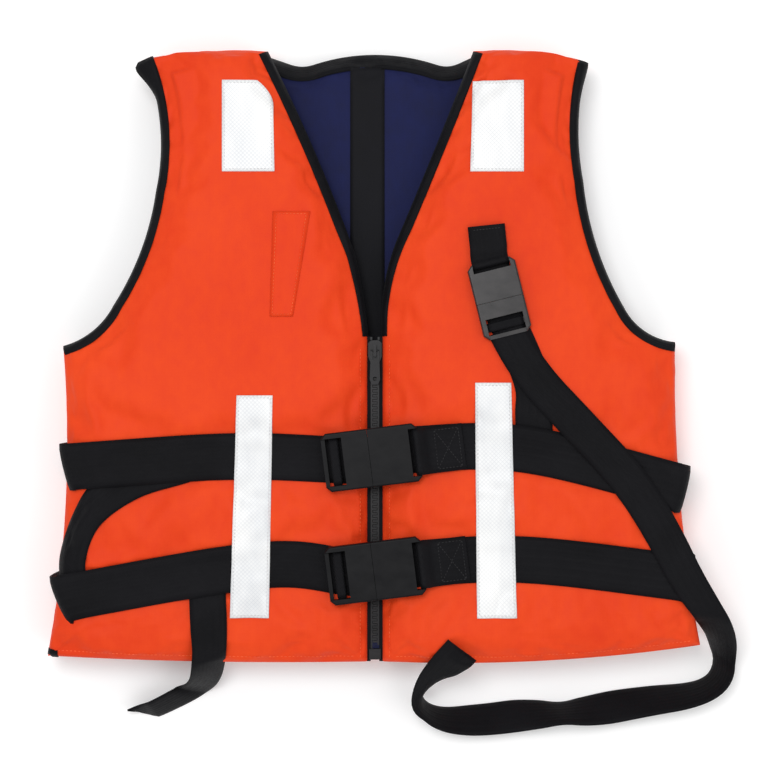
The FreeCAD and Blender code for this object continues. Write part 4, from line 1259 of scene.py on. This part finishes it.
def inner_border(grid, inset, thick):
    """Closed 3-D polyline inside the border of a laid grid, on its upper face."""
    rows, columns = grid.shape[:2]
    width = np.linalg.norm(grid[0, -1] - grid[0, 0])
    length = np.linalg.norm(grid[-1, 0] - grid[0, 0])
    u, v = inset / width, inset / length

    def at(s, t):
        i, j = t * (rows - 1), s * (columns - 1)
        i0, j0 = min(int(i), rows - 2), min(int(j), columns - 2)
        fi, fj = i - i0, j - j0
        low = grid[i0, j0] * (1 - fj) + grid[i0, j0 + 1] * fj
        high = grid[i0 + 1, j0] * (1 - fj) + grid[i0 + 1, j0 + 1] * fj
        return low * (1 - fi) + high * fi + np.array([0, 0, thick / 2])

    path = [at(s, v) for s in np.linspace(u, 1 - u, columns)]
    path += [at(1 - u, t) for t in np.linspace(v, 1 - v, rows)[1:]]
    path += [at(s, 1 - v) for s in np.linspace(1 - u, u, columns)[1:]]
    path += [at(u, t) for t in np.linspace(1 - v, v, rows)[1:]]
    return path


tape_thread = Stitches()
for grid in tapes.values():
    tape_thread.line(inner_border(grid, 2.6 * MM, TAPE_THICK))
tape_thread.build("reflective_stitches", WHITE_THREAD, "reflective_tape")

orange_thread = Stitches()
orange_thread.line(inner_border(pocket_grid, 2.5 * MM, POCKET_THICK))
for side, outline, sign in SIDES:
    hem = resample(panel_edge(outline, "hem"), np.linspace(0.04, 0.97, 160))
    along_hem = hem + side_of(hem) * sign * 7 * MM
    along_zip = np.linspace([sign * 15 * MM, -312 * MM], [sign * 15 * MM, 12 * MM], 140)
    for seam in (along_hem, along_zip):
        z = pad_surfaces[side].heights(seam, FRONT_SEAM)
        orange_thread.line(np.column_stack([seam, z]), pitch=4.2 * MM)
orange_thread.build("shell_stitches", ORANGE_THREAD, "orange_shell")


def cross_box(stitches, lock, x0, x1, z):
    """Box with a cross sewn through doubled webbing, between two places along a buckle."""
    w = lock.web / 2 - 4 * MM
    corners = [lock.world(a, b, z) for a, b in ((x0, -w), (x1, -w), (x1, w), (x0, w))]
    for a, b in ((0, 1), (1, 2), (2, 3), (3, 0), (0, 2), (1, 3)):
        stitches.line(np.linspace(corners[a], corners[b], 8), pitch=3.2 * MM)


black_thread = Stitches()
loops = Surface(bpy.data.objects["upper_waist_belt_loop"],
                bpy.data.objects["lower_waist_belt_loop"])
for lock in (upper_lock, lower_lock):
    x, y = lock.world(lock.socket_end - 30 * MM, 0, 0)[:2]
    cross_box(black_thread, lock, lock.socket_end - 42 * MM, lock.socket_end - 17 * MM,
              loops.height(x, y) + 0.05 * MM)
run = tab_grid[9] - tab_grid[0]                # the tab's first rows, which lie flat
for inset in (4 * MM, TAB_FOOT - 16 * MM):
    row = tab_grid[0] + run * inset / np.linalg.norm(run[WEB_COLUMNS // 2])
    black_thread.line(row[1:-1] + np.array([0, 0, WEB_THICK / 2]), pitch=3 * MM)
black_thread.build("webbing_stitches", BLACK_THREAD, "black_webbing")


# ================================================================ materials of the CAD parts
def dress(prefix, material):
    """Gives one material to every CAD node whose name starts with the prefix."""
    dressed = [obj for node, obj in nodes.items() if node.startswith(prefix)]
    for obj in dressed:
        obj.data.materials.clear()
        obj.data.materials.append(material)
    return dressed


dress("foam_", FOAM)
dress("zip_", TEETH)
dress("zip_slider", ENAMEL)
dress("zip_pull", ENAMEL)
dress("zip_tape", BLACK_CLOTH)
for prefix, material in (("upper_buckle", BUCKLE), ("lower_buckle", BUCKLE),
                         ("chest_buckle", CHEST_BUCKLE_PAINTED_HIGHLIGHT)):
    for obj in dress(prefix, material):
        rounding = obj.modifiers.new("Rounding", "BEVEL")
        rounding.width = 0.5 * MM
        rounding.segments = 2
        rounding.limit_method = "ANGLE"
        rounding.angle_limit = math.radians(40)


# ================================================================ floor, light and camera
floor = bpy.data.objects.new("floor", bpy.data.meshes.new("floor"))
floor.data.from_pydata([(-6, -6, 0), (6, -6, 0), (6, 6, 0), (-6, 6, 0)], [], [(0, 1, 2, 3)])
floor.data.materials.append(floor_material())
bpy.context.scene.collection.objects.link(floor)

world = bpy.data.worlds.new("studio")
world.use_nodes = True
world.node_tree.nodes["Background"].inputs["Color"].default_value = (1, 1, 1, 1)
world.node_tree.nodes["Background"].inputs["Strength"].default_value = 0.70
bpy.context.scene.world = world


def area_light(name, place, aim, size, power):
    light = bpy.data.lights.new(name, "AREA")
    light.shape = "DISK"
    light.size = size
    light.energy = power
    obj = bpy.data.objects.new(name, light)
    obj.location = place
    obj.rotation_euler = (Vector(aim) - Vector(place)).to_track_quat("-Z", "Y").to_euler()
    bpy.context.scene.collection.objects.link(obj)


area_light("key", (-0.32, 0.45, 2.5), (0, 0, 0), 0.9, 24)
area_light("fill", (1.4, -0.9, 2.4), (0, 0, 0), 1.6, 7)

camera = bpy.data.objects.new("camera", bpy.data.cameras.new("camera"))
camera.location = (CAMERA_X, CAMERA_Y, CAMERA_HEIGHT)
camera.data.sensor_width = SENSOR_WIDTH
camera.data.lens = SENSOR_WIDTH * CAMERA_HEIGHT / PICTURE_WIDTH
bpy.context.scene.collection.objects.link(camera)
bpy.context.scene.camera = camera
bpy.context.scene.view_settings.view_transform = "Standard"
